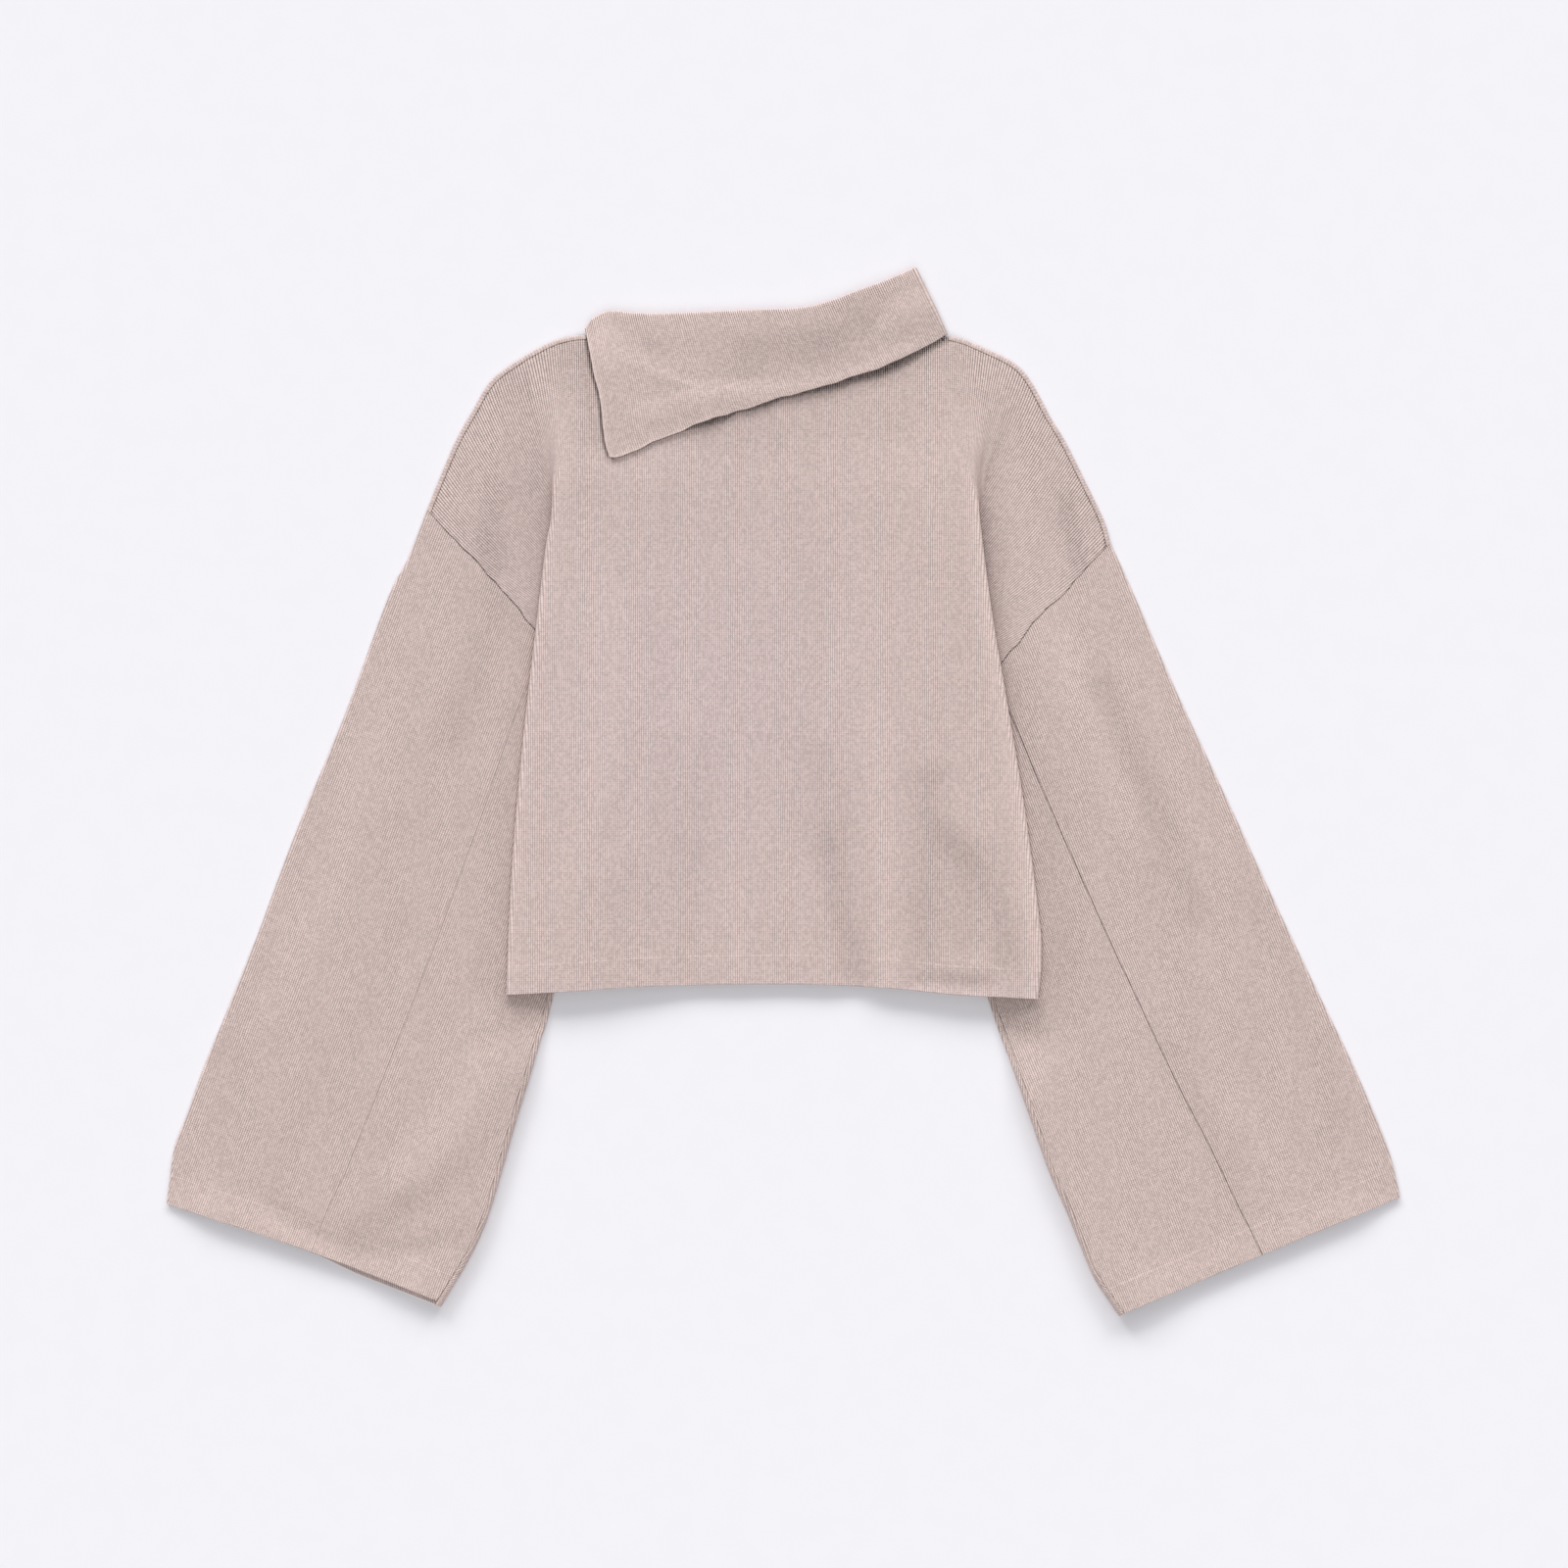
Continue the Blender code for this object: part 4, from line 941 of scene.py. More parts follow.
front_plan = shoulder_inset(body_grid(FRONT_NECK, 0.0), SHOULDER_SEAM)[0]
front_surface = front_plan + normals_of(front_plan) * PITCH / 2
body_middle = slice(SIDE_COLUMNS, front_plan.shape[1] - SIDE_COLUMNS)
rise = front_rise(front_plan[:, body_middle, 0], front_plan[:, body_middle, 1])
order = np.arange(rise.shape[1])
taper = ease(np.minimum(order, order[::-1]) / RISE_TAPER_COLUMNS)[None]
resting = front_surface[:, body_middle, 2]
front_surface[:, body_middle, 2] = drawn_taut(resting, TAUT_ROUNDS, SETTLE_ROUNDS)
front_surface[:, body_middle, 2] += (rise + FRONT_CLEARANCE) * taper
front_from_overlap = from_collar(front_plan[..., 0], front_plan[..., 1])
# Painted light and shade of the front: its folds lighter on ridges and darker in troughs, and the painted
# shades by the collar, on top of its plain lightness.
front_painted_shading = soft_rise(FRONT_FOLDS + SHADES_BY_COLLAR, front_plan[..., 0], front_plan[..., 1])
front_painted_shading += BODY_LIGHTNESS
left_half = np.arange(front_plan.shape[1]) < front_plan.shape[1] // 2
halves = (left_half, ~left_half)
outer_columns = (slice(0, SHOULDER_STEPS), slice(-SHOULDER_STEPS, None))
# Along each folded edge, a painted highlight on the body and, on the shoulder part beside it, painted shade
# with its dark line.
for side, half, outer in zip(body_sides, halves, outer_columns):
    x, y = front_plan[:, half, 0], front_plan[:, half, 1]
    at_fold, inside = FOLD_GLEAMS[side.name]
    inward = (x_at(side.edge, y) - x) * side.sign
    painted_gleam = np.interp(inward, FOLD_GLEAM_STEPS, (0, at_fold, inside, 0))
    front_painted_shading[:, half] += painted_gleam * ease_between(side.station_at(y), FOLD_GLEAM_GROWS)
    x, y = front_plan[:, outer, 0], front_plan[:, outer, 1]
    tucked, shade = beside_body(side, x, y)
    front_from_overlap[:, outer] = np.minimum(front_from_overlap[:, outer], tucked)
    front_painted_shading[:, outer] = shade + soft_rise(SHOULDER_PAINTED_SHADES + SHADES_BY_COLLAR, x, y) + BODY_LIGHTNESS
from_cool_centre = (((front_plan[..., :2] - COOL_CENTRE) / COOL_REACH) ** 2).sum(axis=-1)
cool_middle = NO_MARKS["Coolness"] + COOL_MIDDLE * np.exp(-from_cool_centre)
cool_hem = COOL_HEM * (1 - ease(from_hem(front_plan) / COOL_HEM_RUN))
front_normal = normals_of(front_surface)
from_shoulder_seam = np.abs(from_shoulders(front_plan) - SHOULDER_SEAM) - SHOULDER_SEAM_HALF_WIDTH
front_panel = cloth_wall(
    "front_panel_knit",
    front_surface + front_normal * CLOTH / 2,
    front_surface - front_normal * CLOTH / 2,
    body_cloth(front_plan),
    {
        "FromOpenEdge": from_hem(front_plan),
        "FromSeam": np.minimum(from_armholes(front_plan), from_shoulder_seam),
        "FromOverlap": front_from_overlap,
        "RibDepth": stretched_ribs(front_plan),
        "PaintedShading": front_painted_shading,
        "Coolness": np.maximum(cool_middle, cool_hem),
    },
    body_cloth_at,
)
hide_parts("front_panel")

# ---------------------------------------------------------------------------------------------
# Sleeves, main panels. Wide dropped sleeves, knitted from the cuff up. The main panel wraps the
# outer fold and the whole underside, and comes back round the inner edge to a seam.

ARMHOLE_GAP = 0.4
ARMHOLE_SLANT = 0.7
# Folds are ridges and troughs, in the form and in painted light and shade; the shades are painted
# shade only, where the hem's corners keep light off.
SLEEVES = {
    "left": {
        "outer": ((-262, 207.5), (-276.5, 170.5), (-291, 142), (-323, 55.5), (-359, -31),
                  (-391.5, -117.5), (-427, -204.5), (-437, -233), (-448, -262), (-452, -287.5),
                  (-454, -304)),
        "cuff": ((-454, -304), (-351, -338), (-250.5, -376.5)),
        "panel_seam": (0.60, 0.52),
        "panel_faintness": 0.3,
        "back_drop": 3.2,
        "fullness": 5.6,
        "lean": -20.5,
        "seed": 11,
        "folds": (
            {"from": (-194, -216), "to": (-310, -330), "bow": 18, "fades": 20, "width": 16, "height": -1.6},
            {"from": (-214, -190), "to": (-272, -284), "bow": 8, "fades": 24, "width": 17, "height": 1.4},
            {"from": (-242, -328), "to": (-364, -316), "bow": 19, "fades": 14, "width": 9, "height": -1.7},
            {"from": (-246, -366), "to": (-272, -370), "bow": 0, "fades": 12, "width": 11, "height": 1.4},
            {"from": (-322, 50), "to": (-394, -150), "bow": 4, "fades": 40, "width": 15, "height": -0.3},
            {"from": (-212, 141), "to": (-238, 38), "bow": 2, "fades": 26, "width": 14, "height": -1.7},
            {"from": (-300, 20), "to": (-360, -140), "bow": 4, "fades": 40, "width": 20, "height": 0.6},
            {"from": (-286, -110), "to": (-322, -240), "bow": -4, "fades": 30, "width": 14, "height": -0.5},
            {"from": (-340, -210), "to": (-376, -300), "bow": 3, "fades": 26, "width": 14, "height": -0.4},
            {"from": (-404, -190), "to": (-412, -250), "bow": 2, "fades": 20, "width": 14, "height": -0.8},
            {"from": (-440, -302), "to": (-330, -340), "bow": 0, "fades": 10, "width": 11, "height": 1.5},
        ),
        "shades": (
            {"from": (-194, -170), "to": (-222, -178), "bow": 0, "fades": 10, "width": 10, "height": -2.2},
        ),
    },
    "right": {
        "outer": ((241, 183), (259.5, 142), (284.5, 84.5), (311.5, 26.5), (338.5, -31),
                  (365.5, -89), (393, -146.5), (421, -204.5), (445, -262), (452, -287.5), (454.5, -299)),
        "cuff": ((454.5, -299), (352.5, -341.5), (247, -386)),
        "panel_seam": (0.60, 0.49),
        "panel_faintness": -0.05,
        "back_drop": 0.0,
        "fullness": 7.4,
        "lean": 21.5,
        "seed": 12,
        "folds": (
            {"from": (192, 128), "to": (250, -10), "bow": 2, "fades": 40, "width": 13, "height": 1.4},
            {"from": (236, 60), "to": (302, -186), "bow": 3, "fades": 30, "width": 11, "height": -0.6},
            {"from": (238, 66), "to": (301, -92), "bow": 2, "fades": 20, "width": 12, "height": -2.0},
            {"from": (284, -200), "to": (334, -308), "bow": 2, "fades": 24, "width": 10, "height": -1.0},
            {"from": (314, -190), "to": (364, -300), "bow": 2, "fades": 30, "width": 10, "height": 0.5},
            {"from": (350, -90), "to": (408, -246), "bow": 4, "fades": 30, "width": 18, "height": -1.1},
            {"from": (262, -372), "to": (440, -304), "bow": 0, "fades": 10, "width": 12, "height": 0.7},
        ),
        "shades": (
            {"from": (160, -172), "to": (186, -173), "bow": 0, "fades": 8, "width": 9, "height": -4.2},
        ),
    },
}
INNER_SEAM_INSET = 4.2
ARMHOLE_FAINTNESS = 0.1
INNER_SEAM_FAINTNESS = 0.25
# Below this layer a sleeve's cloth peeps out under its own cuff.
PEEPING_LAYER = 0.3
# The inner edge is a fuller fold past the hem, where nothing lies on it.
FULLNESS_STARTS = (0.49, 0.62)
FULLNESS_REACH = 34.0
FULLNESS_SLENDER = 0.45
# The upper layer gapes a little at the cuff, where the gape is still growing.
CUFF_GAPE = 1.8
CUFF_GAPE_GROWS = (0.88, 1.12)
SLEEVE_ROWS = 130
MAIN_FRONT_STEPS = 26
PANEL_STEPS = 24
SLEEVE_BACK_STEPS = 36
RISE_TAPER = 0.2
DROP_SHARES = (0.5, 0.72)
DROP_STEEPNESS = 12
SLEEVE_SWELL = 2.2
SLEEVE_LIGHTNESS = 0.45
SLEEVE_RIBS = 1.5
SLEEVE_AREAS = {"left": 0.169, "right": 0.167}
PANEL_AREAS = {"left": 0.041, "right": 0.044}


def away_from(edge, outward):
    """At each point of an edge, the way square to it, and how square the outward way is to it."""
    tangent = np.gradient(edge, axis=0)
    tangent /= np.linalg.norm(tangent, axis=1, keepdims=True)
    square = np.stack([tangent[:, 1], -tangent[:, 0]], 1)
    lean = (square * outward).sum(axis=1)
    return square * np.sign(lean)[:, None], np.abs(lean)


class Sleeve:
    """One sleeve's plan, from which both of its panels are made."""

    def __init__(self, side):
        self.side = side
        self.table = SLEEVES[side.name]
        self.down = np.linspace(0, 1, SLEEVE_ROWS + 1)
        off_body = np.array([side.sign * ARMHOLE_SLANT, -ARMHOLE_SLANT]) * ARMHOLE_GAP
        self.armhole = side.armhole + off_body
        self.outer = along(spline(self.table["outer"]), self.down)
        self.inner = along(side.sleeve_inner, self.down)
        self.outer[0] = self.armhole[0]
        self.inner[0] = self.armhole[-1]
        self.cuff = spline(self.table["cuff"])
        self.width = np.linalg.norm(self.inner - self.outer, axis=1)
        across = (self.inner - self.outer) / self.width[:, None]
        self.outer_way, outer_lean = away_from(self.outer, -across)
        self.inner_way, inner_lean = away_from(self.inner, across)
        self.outer_share = (FLAT_FOLD_INSET / self.width / outer_lean)[:, None]
        self.fullness = self.table["fullness"] * ease_between(self.down, FULLNESS_STARTS)
        inset = FLAT_FOLD_INSET + self.fullness * FULLNESS_SLENDER / 2
        self.inner_share = 1 - (inset / self.width / inner_lean)[:, None]
        self.panel_seam = mix(self.table["panel_seam"][0], self.table["panel_seam"][1], self.down)[:, None]
        self.inner_seam = 1 - (INNER_SEAM_INSET / self.width / inner_lean)[:, None]
        self.gap_share = (SEAM_GAP / 2 / self.width)[:, None]

    def at(self, shares):
        """Places in plan at shares of the sleeve's width, from the outer edge in."""
        points = []
        for row, share_down in enumerate(self.down):
            across = shares[row]
            ruled = (1 - share_down) * along(self.armhole, across) + share_down * along(self.cuff, across)
            ruled += (1 - across)[:, None] * self.outer[row] + across[:, None] * self.inner[row]
            first = (1 - across)[:, None] * self.armhole[0] + across[:, None] * self.armhole[-1]
            last = (1 - across)[:, None] * self.cuff[0] + across[:, None] * self.cuff[-1]
            points.append(ruled - (1 - share_down) * first - share_down * last)
        return np.array(points)

    def run(self, start, stop, steps):
        """Shares that go from start to stop in each row."""
        return mix(start, stop, np.linspace(0, 1, steps + 1)[None])

    def raised(self, shares, layer):
        """Points of a layer of the sleeve, with the soft folds on the upper one."""
        plan = self.at(shares)
        rise = 0.0
        if layer > 0:
            inward = np.minimum(shares, 1 - shares)
            taper = ease(inward / RISE_TAPER) * ease(self.down / RISE_TAPER)[:, None]
            rise = SLEEVE_SWELL + soft_rise(self.table["folds"], plan[..., 0], plan[..., 1])
            gape = CUFF_GAPE * ease_between(self.down, CUFF_GAPE_GROWS)[:, None]
            rise = (rise + gape + unevenness(plan[..., 0], plan[..., 1], self.table["seed"])) * taper
            from_fold = (self.inner_share - shares) * self.width[:, None]
            rise = rise + self.fullness[:, None] * np.exp(-(from_fold / FULLNESS_REACH) ** 2)
        z = np.full(shares.shape, height_of(layer)) + rise
        return np.concatenate([plan, z[..., None]], axis=2)

    def turned(self, share, away, angles, fullness=0.0):
        """Points round a folded edge."""
        plan = self.at(share)[:, 0]
        fullness = np.broadcast_to(fullness, len(plan))[:, None]
        reach = (PITCH + fullness * FULLNESS_SLENDER) / 2
        points = []
        for angle in angles:
            z = height_of(0) + (PITCH + fullness) / 2 * (1 + math.sin(angle))
            points.append(np.concatenate([plan + away * reach * math.cos(angle), z], axis=1))
        return np.stack(points, axis=1)

    def cloth(self, grid):
        """Where each point lies in the flat panel, u across the wales and v along them."""
        lean = math.radians(self.table["lean"])
        axis = np.array([math.sin(lean), -math.cos(lean)])
        side = np.array([math.cos(lean), math.sin(lean)])
        across = grid[..., :2] @ side
        step = np.hypot(np.diff(across, axis=1), np.diff(grid[..., 2], axis=1))
        first_way = np.sign(across[:, 1:2] - across[:, :1])
        run = np.concatenate([np.zeros((len(grid), 1)), np.cumsum(step, axis=1)], axis=1)
        return np.stack([across[:, :1] + first_way * run, -(grid[..., :2] @ axis)], axis=2)

    def make(self, name, grid, area, flat, below):
        """A panel of the sleeve from the grid of its middle surface."""
        x, y, z = grid.transpose(2, 0, 1)
        cloth = self.cloth(grid)
        from_cuff = distance_to(self.cuff, x, y)
        from_overlap, shade = beside_body(self.side, x, y)
        # Where the lower layer peeps out under the cuff, a dark line of painted shade runs along the cuff.
        peeping = z < height_of(PEEPING_LAYER)
        from_overlap[peeping] = np.minimum(from_overlap, from_cuff)[peeping]
        from_seam = np.full(x.shape, NO_MARKS["FromSeam"])
        seams = (
            (self.armhole, ARMHOLE_FAINTNESS),
            (self.at(self.panel_seam)[:, 0], self.table["panel_faintness"]),
            (self.at(self.inner_seam)[:, 0], INNER_SEAM_FAINTNESS),
        )
        for line, faintness in seams:
            from_seam = np.minimum(from_seam, faintness + distance_to(line, x, y))
        # Painted light and shade: the folds lighter on ridges and darker in troughs, the painted shades,
        # and the painted shade beside the body, on top of the sleeve's plain lightness.
        folds = self.table["folds"] + self.table["shades"]
        marks = {
            "FromOpenEdge": from_cuff,
            "FromSeam": from_seam,
            "FromOverlap": from_overlap,
            "RibDepth": np.full(x.shape, SLEEVE_RIBS),
            "PaintedShading": shade + soft_rise(folds, x, y) + SLEEVE_LIGHTNESS,
        }
        if normals_of(grid)[SLEEVE_ROWS // 2, 0, 2] < 0:
            grid, cloth = grid[:, ::-1], cloth[:, ::-1]
            marks = {label: values[:, ::-1] for label, values in marks.items()}
        half = normals_of(grid) * CLOTH / 2
        piece = cloth_wall(name + "_knit", grid + half, grid - half, cloth, marks)
        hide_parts(name)


sleeves = {side.name: Sleeve(side) for side in body_sides}
for name, sleeve in sleeves.items():
    quarter = math.pi / 2
    front_main = sleeve.raised(
        sleeve.run(sleeve.panel_seam - sleeve.gap_share, sleeve.outer_share, MAIN_FRONT_STEPS), 1)
    outer_turn = np.linspace(quarter, -quarter, ARC_STEPS + 1)[1:-1]
    outer_fold = sleeve.turned(sleeve.outer_share, sleeve.outer_way, outer_turn)
    back = sleeve.raised(sleeve.run(sleeve.outer_share, sleeve.inner_share, SLEEVE_BACK_STEPS), 0)
    inner_turn = np.linspace(-quarter, quarter, ARC_STEPS + 1)[1:-1]
    inner_fold = sleeve.turned(sleeve.inner_share, sleeve.inner_way, inner_turn, sleeve.fullness)
    return_strip = sleeve.raised(sleeve.run(sleeve.inner_share, sleeve.inner_seam, 2), 1)
    cuff_way = np.array(sleeve.table["cuff"][-1], dtype=float) - sleeve.table["cuff"][0]
    drop_way = np.array([cuff_way[1], -cuff_way[0]]) / np.linalg.norm(cuff_way)
    drop = drop_way * -np.sign(drop_way[1]) * sleeve.table["back_drop"]
    across_back = ease_between(np.linspace(0, 1, SLEEVE_BACK_STEPS + 1), DROP_SHARES)
    drop = (sleeve.down ** DROP_STEEPNESS)[:, None, None] * drop
    back[..., :2] += across_back[None, :, None] * drop
    inner_fold[..., :2] += drop
    return_strip[..., :2] += drop
    main = np.concatenate([front_main, outer_fold, back, inner_fold, return_strip], axis=1)
    sleeve.make(name + "_sleeve_main", main, SLEEVE_AREAS[name], (0.345, 0.57), ["back_panel_knit"])

# ---------------------------------------------------------------------------------------------
# Sleeves, underarm panels. The strip of rib knit between the panel seam, half-way across the
# sleeve, and the inner seam. It is linked to the main panel on both sides.

for name, sleeve in sleeves.items():
    inner_stop = sleeve.inner_seam - 2 * sleeve.gap_share
    shares = sleeve.run(sleeve.panel_seam + sleeve.gap_share, inner_stop, PANEL_STEPS)
    sleeve.make(name + "_sleeve_underarm_panel", sleeve.raised(shares, 1), PANEL_AREAS[name],
                (0.125, 0.46), [name + "_sleeve_main_knit"])

# ---------------------------------------------------------------------------------------------
# Collar. One strip of the same knit, folded over at the roll with the stand inside and the flap
# outside. It is open at the left end of the neck and carried round the right side to the back.

ROLL = ((-144.5, 341.5), (-141.5, 347), (-134.5, 351), (-126.5, 353.5), (-101, 351.5), (-76.5, 352),
        (-21, 354.5), (11.5, 356), (33, 360.5), (54.5, 368.5), (76.5, 376.5), (97, 385.5))
SIDE_FOLD = ((122, 337), (98, 386))
BACK_OPEN_END = ((-141, 337), (-133, 300), (-126, 262))
FLAP_CLEARANCE = 0.05
# The flap thins towards its edge, to this share of the cloth, and is painted lighter there, against
# the darkening of its slope.
FLAP_EDGE_THICKNESS = 0.45
FLAP_EDGE_RUN = 22.0
FLAP_EDGE_LIGHTNESS = 0.8
# Painted highlight that the flap catches on its edge, at the open left end and a little way along
# from it.
FLAP_EDGE_GLEAM = 5.0
FLAP_EDGE_GLEAM_REACH = 1.6
GLEAM_FADES = (-110, -30)
# Further right the flap's edge is painted in shade, as an edge turned down away from the light
# would be.
FLAP_EDGE_SHADE = 2.4
FLAP_EDGE_SHADE_REACH = 6.0
FLAP_EDGE_SHADE_GROWS = (-40, 40)
# The whole collar is painted a little in shade, and more so to the right.
COLLAR_SHADE = 1.0
COLLAR_SHADE_RIGHT = 1.1
COLLAR_SHADE_GROWS = (-110, 30)
FLAP_EDGE_LIFTS = (
    {"x": -56, "half_width": 12, "height": 2.4},
    {"x": -18, "half_width": 18, "height": 1.0},
    {"x": 24, "half_width": 24, "height": 1.6},
    {"x": 84, "half_width": 30, "height": 2.8},
)
FLAP_TAUT_ROUNDS = 25
ROLL_RIBS = 1.6
ROLL_RIBS_REACH = 9.0
OPEN_CORNER_INSET = (-0.9, 0.2)
BACK_ROLL_INSET = 1.0
STAND_STEPS = 8
COLLAR_WRAP_STEPS = ARC_STEPS + 6
FLAP_STEPS = 34
# Rows of the flap lie closer together towards its edge.
FLAP_BUNCHING = 1.5
COLLAR_COLUMNS = 150
COLLAR_FOLDS = (
    {"from": (-26, 324), "to": (22, 330), "bow": 1, "fades": 14, "width": 13, "height": -1.9},
    {"from": (38, 336), "to": (70, 350), "bow": 0, "fades": 12, "width": 11, "height": -1.8},
    {"from": (44, 357), "to": (74, 367), "bow": 0, "fades": 10, "width": 7, "height": -1.5},
    {"from": (-135, 328), "to": (-127, 302), "bow": 0, "fades": 10, "width": 9, "height": 1.2},
    {"from": (-116, 344), "to": (-92, 322), "bow": 0, "fades": 12, "width": 10, "height": -0.9},
    {"from": (-128, 296), "to": (-122, 264), "bow": 0, "fades": 10, "width": 9, "height": -1.3},
    {"from": (76, 346), "to": (104, 362), "bow": 0, "fades": 12, "width": 12, "height": 2.2},
    {"from": (-82, 301), "to": (-26, 303), "bow": 0, "fades": 14, "width": 8, "height": -1.1},
    {"from": (-96, 276), "to": (-50, 290), "bow": 2, "fades": 18, "width": 10, "height": 0.8},
)
# Painted highlight along the roll of the collar.
ROLL_GLEAM = 4.0
ROLL_GLEAM_REACH = 13.0

collar_shares = np.linspace(0, 1, COLLAR_COLUMNS + 1)
side_fold = np.array(SIDE_FOLD, dtype=float)
fold_way = (side_fold[1] - side_fold[0]) / np.linalg.norm(side_fold[1] - side_fold[0])
fold_out = np.array([fold_way[1], -fold_way[0]])
axis_foot = side_fold[0] - fold_out * FOLD_INSET
axis_top = side_fold[1] - fold_out * FOLD_INSET - fold_way * FLAT_FOLD_INSET
flap_down = 1 - np.linspace(1, 0, FLAP_STEPS + 1) ** FLAP_BUNCHING
stand_up = np.linspace(0, 1, STAND_STEPS + 1)
roll_turn = np.linspace(-math.pi / 2, math.pi / 2, ARC_STEPS + 1)[1:-1]
front_tree = BVHTree.FromObject(front_panel, bpy.context.evaluated_depsgraph_get())


def top_of_front(x, y):
    """Height of the front panel's upper face at each place, 0 beside it."""
    heights = []
    for place in zip(np.ravel(x) * MM, np.ravel(y) * MM):
        hit = front_tree.ray_cast((*place, 1.0), (0.0, 0.0, -1.0))[0]
        heights.append(hit.z / MM if hit else 0.0)
    return np.reshape(heights, np.shape(x))


def collar_half(neck, flap_edge, open_end, face, extra_inset):
    """Columns of the collar's front or back half, each from the neck seam over the roll and down."""
    roll = along(spline(ROLL), collar_shares) - np.array([0, FLAT_FOLD_INSET + extra_inset])
    roll[0] += OPEN_CORNER_INSET
    roll += (collar_shares ** 3)[:, None] * (axis_top - roll[-1])
    edge = along(wavy(spline(flap_edge)), collar_shares)
    edge += (collar_shares ** 3)[:, None] * (axis_foot - edge[-1])
    edge_lift = np.zeros(COLLAR_COLUMNS + 1)
    for gape in FLAP_EDGE_LIFTS:
        edge_lift += gape["height"] * np.exp(-((edge[:, 0] - gape["x"]) / gape["half_width"]) ** 2)
    foot = along(spline(neck), collar_shares)
    upward = roll - foot
    upward /= np.linalg.norm(upward, axis=1, keepdims=True)
    foot = foot + upward * SEAM_GAP
    foot[-1] = axis_foot + fold_way * SEAM_GAP * 2
    end_line = along(spline(open_end), flap_down)
    end_line += (1 - flap_down)[:, None] * (roll[0] - end_line[0])
    axis_line = mix(axis_top, axis_foot, flap_down[:, None])
    flap = patch(roll, edge, end_line, axis_line, flap_down).transpose(1, 0, 2)
    flap_rise = np.zeros((FLAP_STEPS + 1, COLLAR_COLUMNS + 1))
    if face > 0:
        x, y = flap.transpose(2, 1, 0)
        height = front_layer(x, y) * PITCH + CLOTH / 2
        resting = np.maximum(height, top_of_front(x, y) + CLOTH / 2)
        settled = drawn_taut(resting, FLAP_TAUT_ROUNDS, SETTLE_ROUNDS)
        lift = soft_rise(COLLAR_FOLDS, x, y) + edge_lift * flap_down[:, None] ** 3
        lifted = np.maximum(settled + lift * ease(flap_down * 2.5)[:, None], resting)
        flap_rise = (lifted - height + FLAP_CLEARANCE) * ease(flap_down * 5)[:, None]
        flap_rise *= 1 - collar_shares ** 10
    columns = []
    for column, share in enumerate(collar_shares):
        stand = mix(foot[column], roll[column], stand_up[:, None])
        way = mix(upward[column], fold_way, share ** 2)
        way = way / np.linalg.norm(way)
        over = roll[column] + np.cos(roll_turn)[:, None] * way * PITCH / 2
        stand_z = np.full(len(stand), 0.5 * PITCH)
        over_z = PITCH + np.sin(roll_turn) * PITCH / 2
        flap_z = np.full(len(flap[column]), 1.5 * PITCH)
        if face > 0:
            stand_z += (front_layer(stand[:, 0], stand[:, 1]) - 2) * PITCH
            flap_z += (front_layer(*flap[column].T) - 2) * PITCH + flap_rise[:, column]
        plan = np.concatenate([stand, over, flap[column]])
        z = height_of(1.5) + face * np.concatenate([stand_z, over_z, flap_z])
        columns.append(np.concatenate([plan, z[:, None]], axis=1))
    return columns


front_half = collar_half(FRONT_NECK, FLAP_EDGE, OPEN_END, 1, 0.0)
back_half = collar_half(BACK_NECK, BACK_FLAP_EDGE, BACK_OPEN_END, -1, BACK_ROLL_INSET)
wrap = []
wrap_radius = front_half[-1][:, 2] - height_of(1.5)
for angle in np.linspace(0, math.pi, COLLAR_WRAP_STEPS + 1)[1:-1]:
    plan = front_half[-1][:, :2] + wrap_radius[:, None] * math.sin(angle) * fold_out
    z = height_of(1.5) + wrap_radius * math.cos(angle)
    wrap.append(np.concatenate([plan, z[:, None]], axis=1))
collar_grid = np.stack(front_half + wrap + back_half[::-1], axis=1)
roll_row = STAND_STEPS + ARC_STEPS // 2
collar_u = travelled_along(collar_grid[roll_row])
down_steps = np.linalg.norm(np.diff(collar_grid, axis=0), axis=2)
collar_v = np.concatenate([np.zeros((1, collar_grid.shape[1])), np.cumsum(down_steps, axis=0)])
collar_v = collar_v[roll_row] - collar_v
collar_cloth = np.stack([np.broadcast_to(collar_u, collar_v.shape), collar_v], axis=2)
collar_normal = normals_of(collar_grid)
from_flap_edge = collar_v - collar_v[-1]
from_open_end = np.minimum(collar_u, collar_u[-1] - collar_u)[None]
from_edge = np.minimum(from_flap_edge, from_open_end)
off_edge = ease(from_edge / FLAP_EDGE_RUN)
thickness = mix(FLAP_EDGE_THICKNESS, 1.0, off_edge)[..., None] * CLOTH
collar_x, collar_y = collar_grid[..., 0], collar_grid[..., 1]
# Painted light and shade of the collar: a painted highlight on the flap's edge to the left, its folds
# lighter on ridges and darker in troughs, a painted shade over it all, painted light along the flap's
# thinned edge, painted shade on that edge further right and a painted highlight on the roll.
painted_gleam = FLAP_EDGE_GLEAM * (1 - ease_between(collar_x, GLEAM_FADES))
painted_gleam = painted_gleam * np.exp(-(from_edge / FLAP_EDGE_GLEAM_REACH) ** 2)
flap_edge_painted_shade = FLAP_EDGE_SHADE * ease_between(collar_x, FLAP_EDGE_SHADE_GROWS)
collar_painted_shading = soft_rise(COLLAR_FOLDS, collar_x, collar_y)
collar_painted_shading -= COLLAR_SHADE + COLLAR_SHADE_RIGHT * ease_between(collar_x, COLLAR_SHADE_GROWS)
collar_painted_shading += FLAP_EDGE_LIGHTNESS * (1 - off_edge) + painted_gleam
collar_painted_shading -= flap_edge_painted_shade * np.exp(-(from_flap_edge / FLAP_EDGE_SHADE_REACH) ** 2)
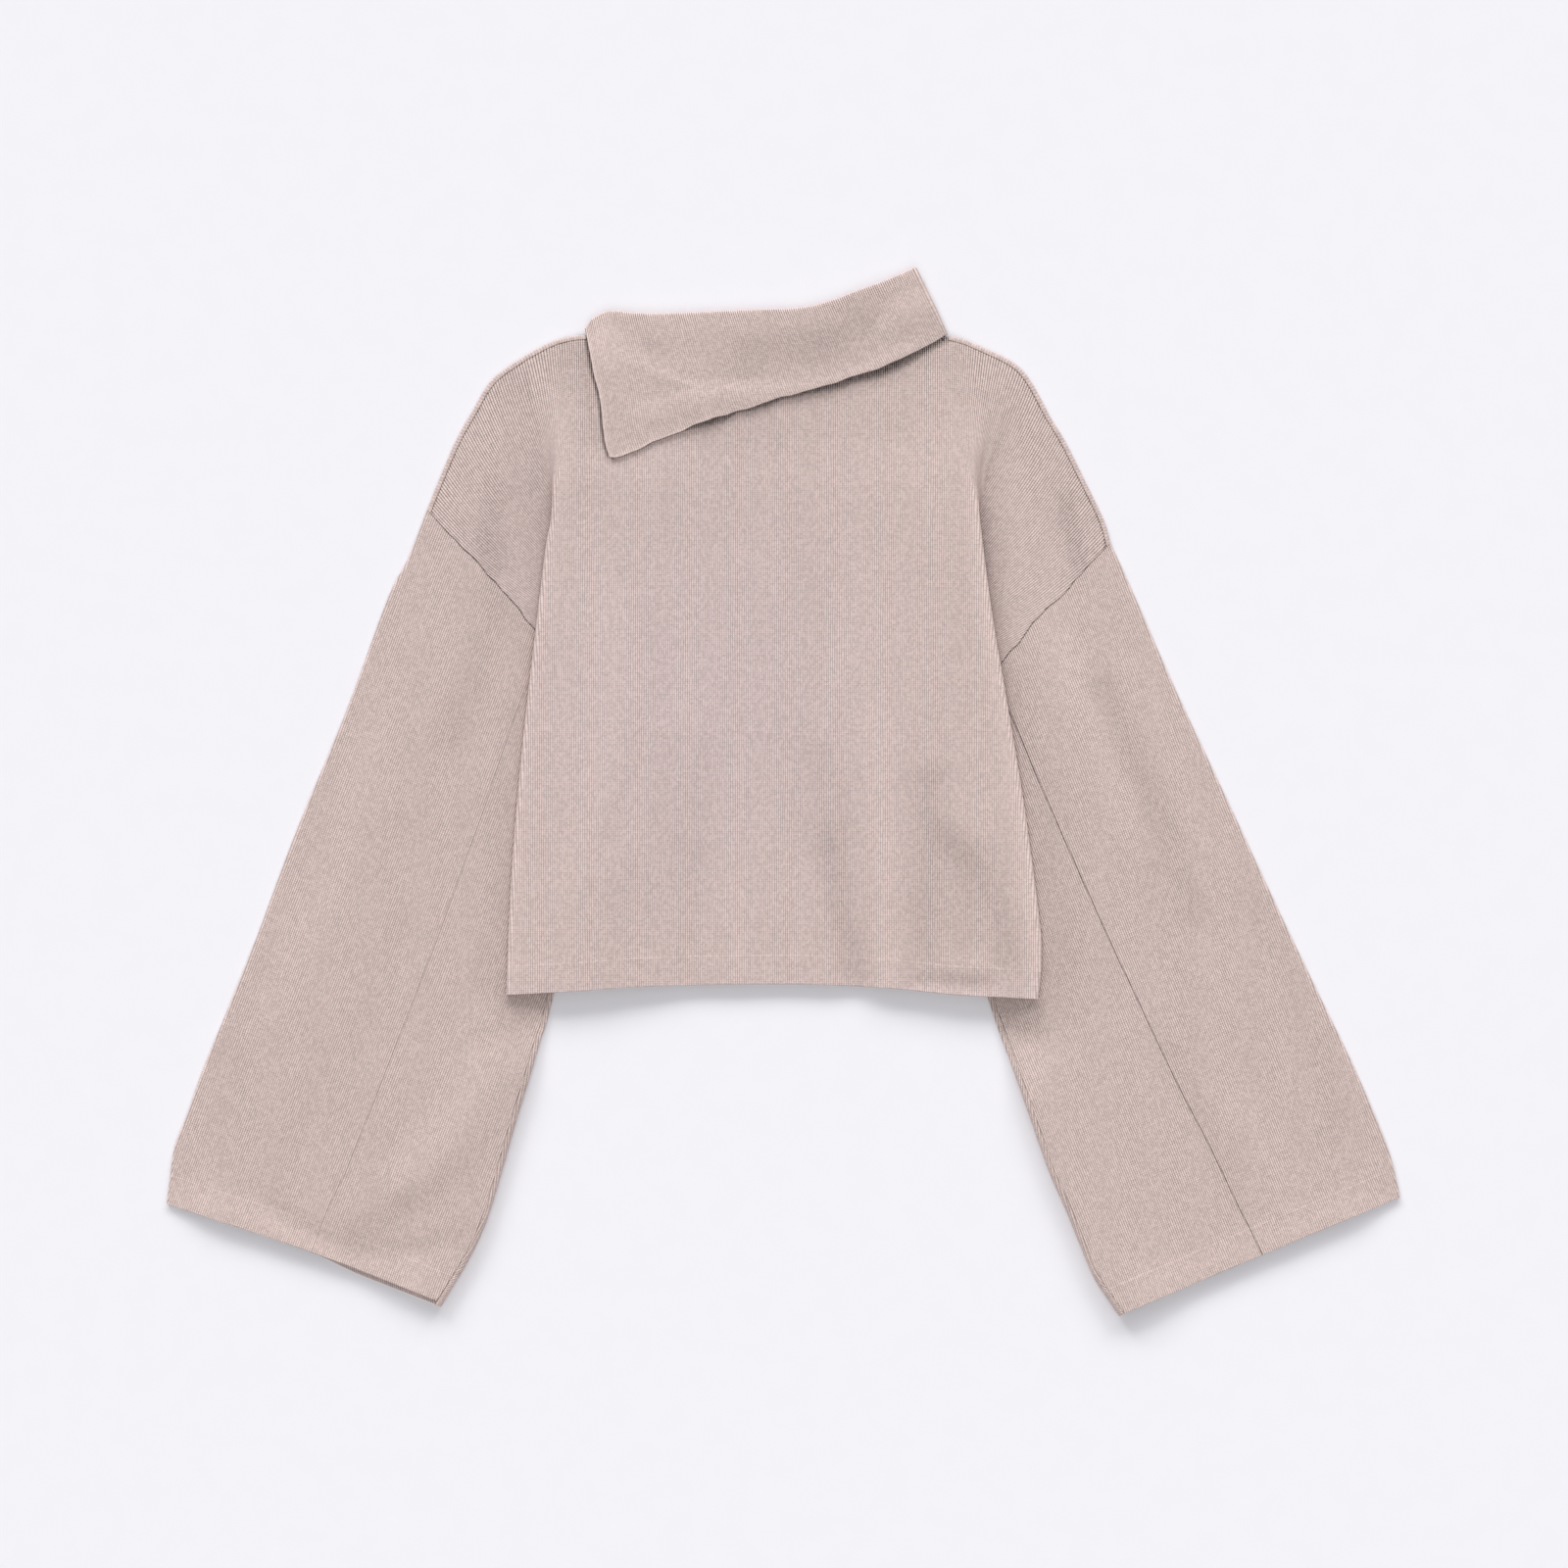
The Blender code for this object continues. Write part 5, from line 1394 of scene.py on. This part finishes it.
collar_painted_shading += ROLL_GLEAM * np.exp(-(collar_v / ROLL_GLEAM_REACH) ** 2)
collar = cloth_wall(
    "collar_knit",
    collar_grid + collar_normal * (thickness - CLOTH / 2),
    collar_grid - collar_normal * CLOTH / 2,
    collar_cloth,
    {
        "RibDepth": 1 + ROLL_RIBS * np.exp(-(collar_v / ROLL_RIBS_REACH) ** 2),
        "PaintedShading": collar_painted_shading,
    },
)
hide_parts("collar")

# ---------------------------------------------------------------------------------------------
# Floor, light and camera. A plain pale surface, broad soft lights low above the neck end, a wider
# one from the hem and soft light all round, seen from straight above through a long lens.

# Matt paper: to the eye, an even pale surface without a shine, on which only shadows show.
floor_paper = bpy.data.materials.new("pale_matt_paper")
floor_paper.use_nodes = True
paper = floor_paper.node_tree
paper_shader = paper.nodes["Principled BSDF"]
paper_grain = add_node(paper, "TexNoise", {"Scale": 260.0, "Detail": 3.0})
paper_colour = add_node(paper, "MapRange", {0: paper_grain, 3: 0.985, 4: 1.015})
paper_mix = add_node(paper, "Mix", {}, data_type="RGBA", clamp_factor=False)
paper_mix.inputs[6].default_value = linear("#000000")
paper_mix.inputs[7].default_value = linear("#F1F0F5")
paper.links.new(paper_colour.outputs[0], paper_mix.inputs[0])
paper.links.new(paper_mix.outputs[2], paper_shader.inputs["Base Color"])
paper_shader.inputs["Roughness"].default_value = 0.95
paper_shader.inputs["Specular IOR Level"].default_value = 0.0

FLOOR_HALF_M = 3.0
# A hair below the sweater's underside, so that the two don't coincide.
FLOOR_DEPTH_M = -0.0001
floor_mesh = bpy.data.meshes.new("floor")
floor_corners = [(x * FLOOR_HALF_M, y * FLOOR_HALF_M, FLOOR_DEPTH_M)
                 for x, y in ((-1, -1), (1, -1), (1, 1), (-1, 1))]
floor_mesh.from_pydata(floor_corners, [], [(0, 1, 2, 3)])
floor_mesh.materials.append(floor_paper)
floor = bpy.data.objects.new("floor", floor_mesh)
bpy.context.scene.collection.objects.link(floor)

# Headings are degrees from the neck end towards the left sleeve, elevations degrees above the
# floor, and softness is how wide a light looks from the sweater, in degrees.
LIGHTS = (
    {"name": "left_key", "heading": 30, "elevation": 24, "softness": 22, "strength": 1.365},
    {"name": "middle_key", "heading": 0, "elevation": 24, "softness": 22, "strength": 0.9},
    {"name": "right_key", "heading": -28, "elevation": 24, "softness": 22, "strength": 0.905},
    {"name": "fill", "heading": 180, "elevation": 62, "softness": 60, "strength": 0.85},
)
for row in LIGHTS:
    lamp = bpy.data.lights.new(row["name"], "SUN")
    lamp.energy = row["strength"]
    lamp.angle = math.radians(row["softness"])
    light = bpy.data.objects.new(row["name"], lamp)
    light.rotation_euler = (math.radians(row["elevation"] - 90), 0, math.radians(row["heading"]))
    bpy.context.scene.collection.objects.link(light)

ALL_ROUND_STRENGTH = 0.385
world = bpy.data.worlds.new("studio")
world.use_nodes = True
background = world.node_tree.nodes["Background"]
background.inputs["Color"].default_value = linear("#FFFFFF")
background.inputs["Strength"].default_value = ALL_ROUND_STRENGTH
bpy.context.scene.world = world

CAMERA_HEIGHT_M = 6.0
FRAME_WIDTH_M = 1.1556
VIEW_CENTRE_M = (0.0007, 0.0051)
SENSOR = 36.0
lens = bpy.data.cameras.new("camera")
lens.sensor_width = SENSOR
lens.lens = SENSOR * CAMERA_HEIGHT_M / FRAME_WIDTH_M
camera = bpy.data.objects.new("camera", lens)
camera.location = (*VIEW_CENTRE_M, CAMERA_HEIGHT_M)
bpy.context.scene.collection.objects.link(camera)
bpy.context.scene.camera = camera
bpy.context.scene.view_settings.view_transform = "Standard"
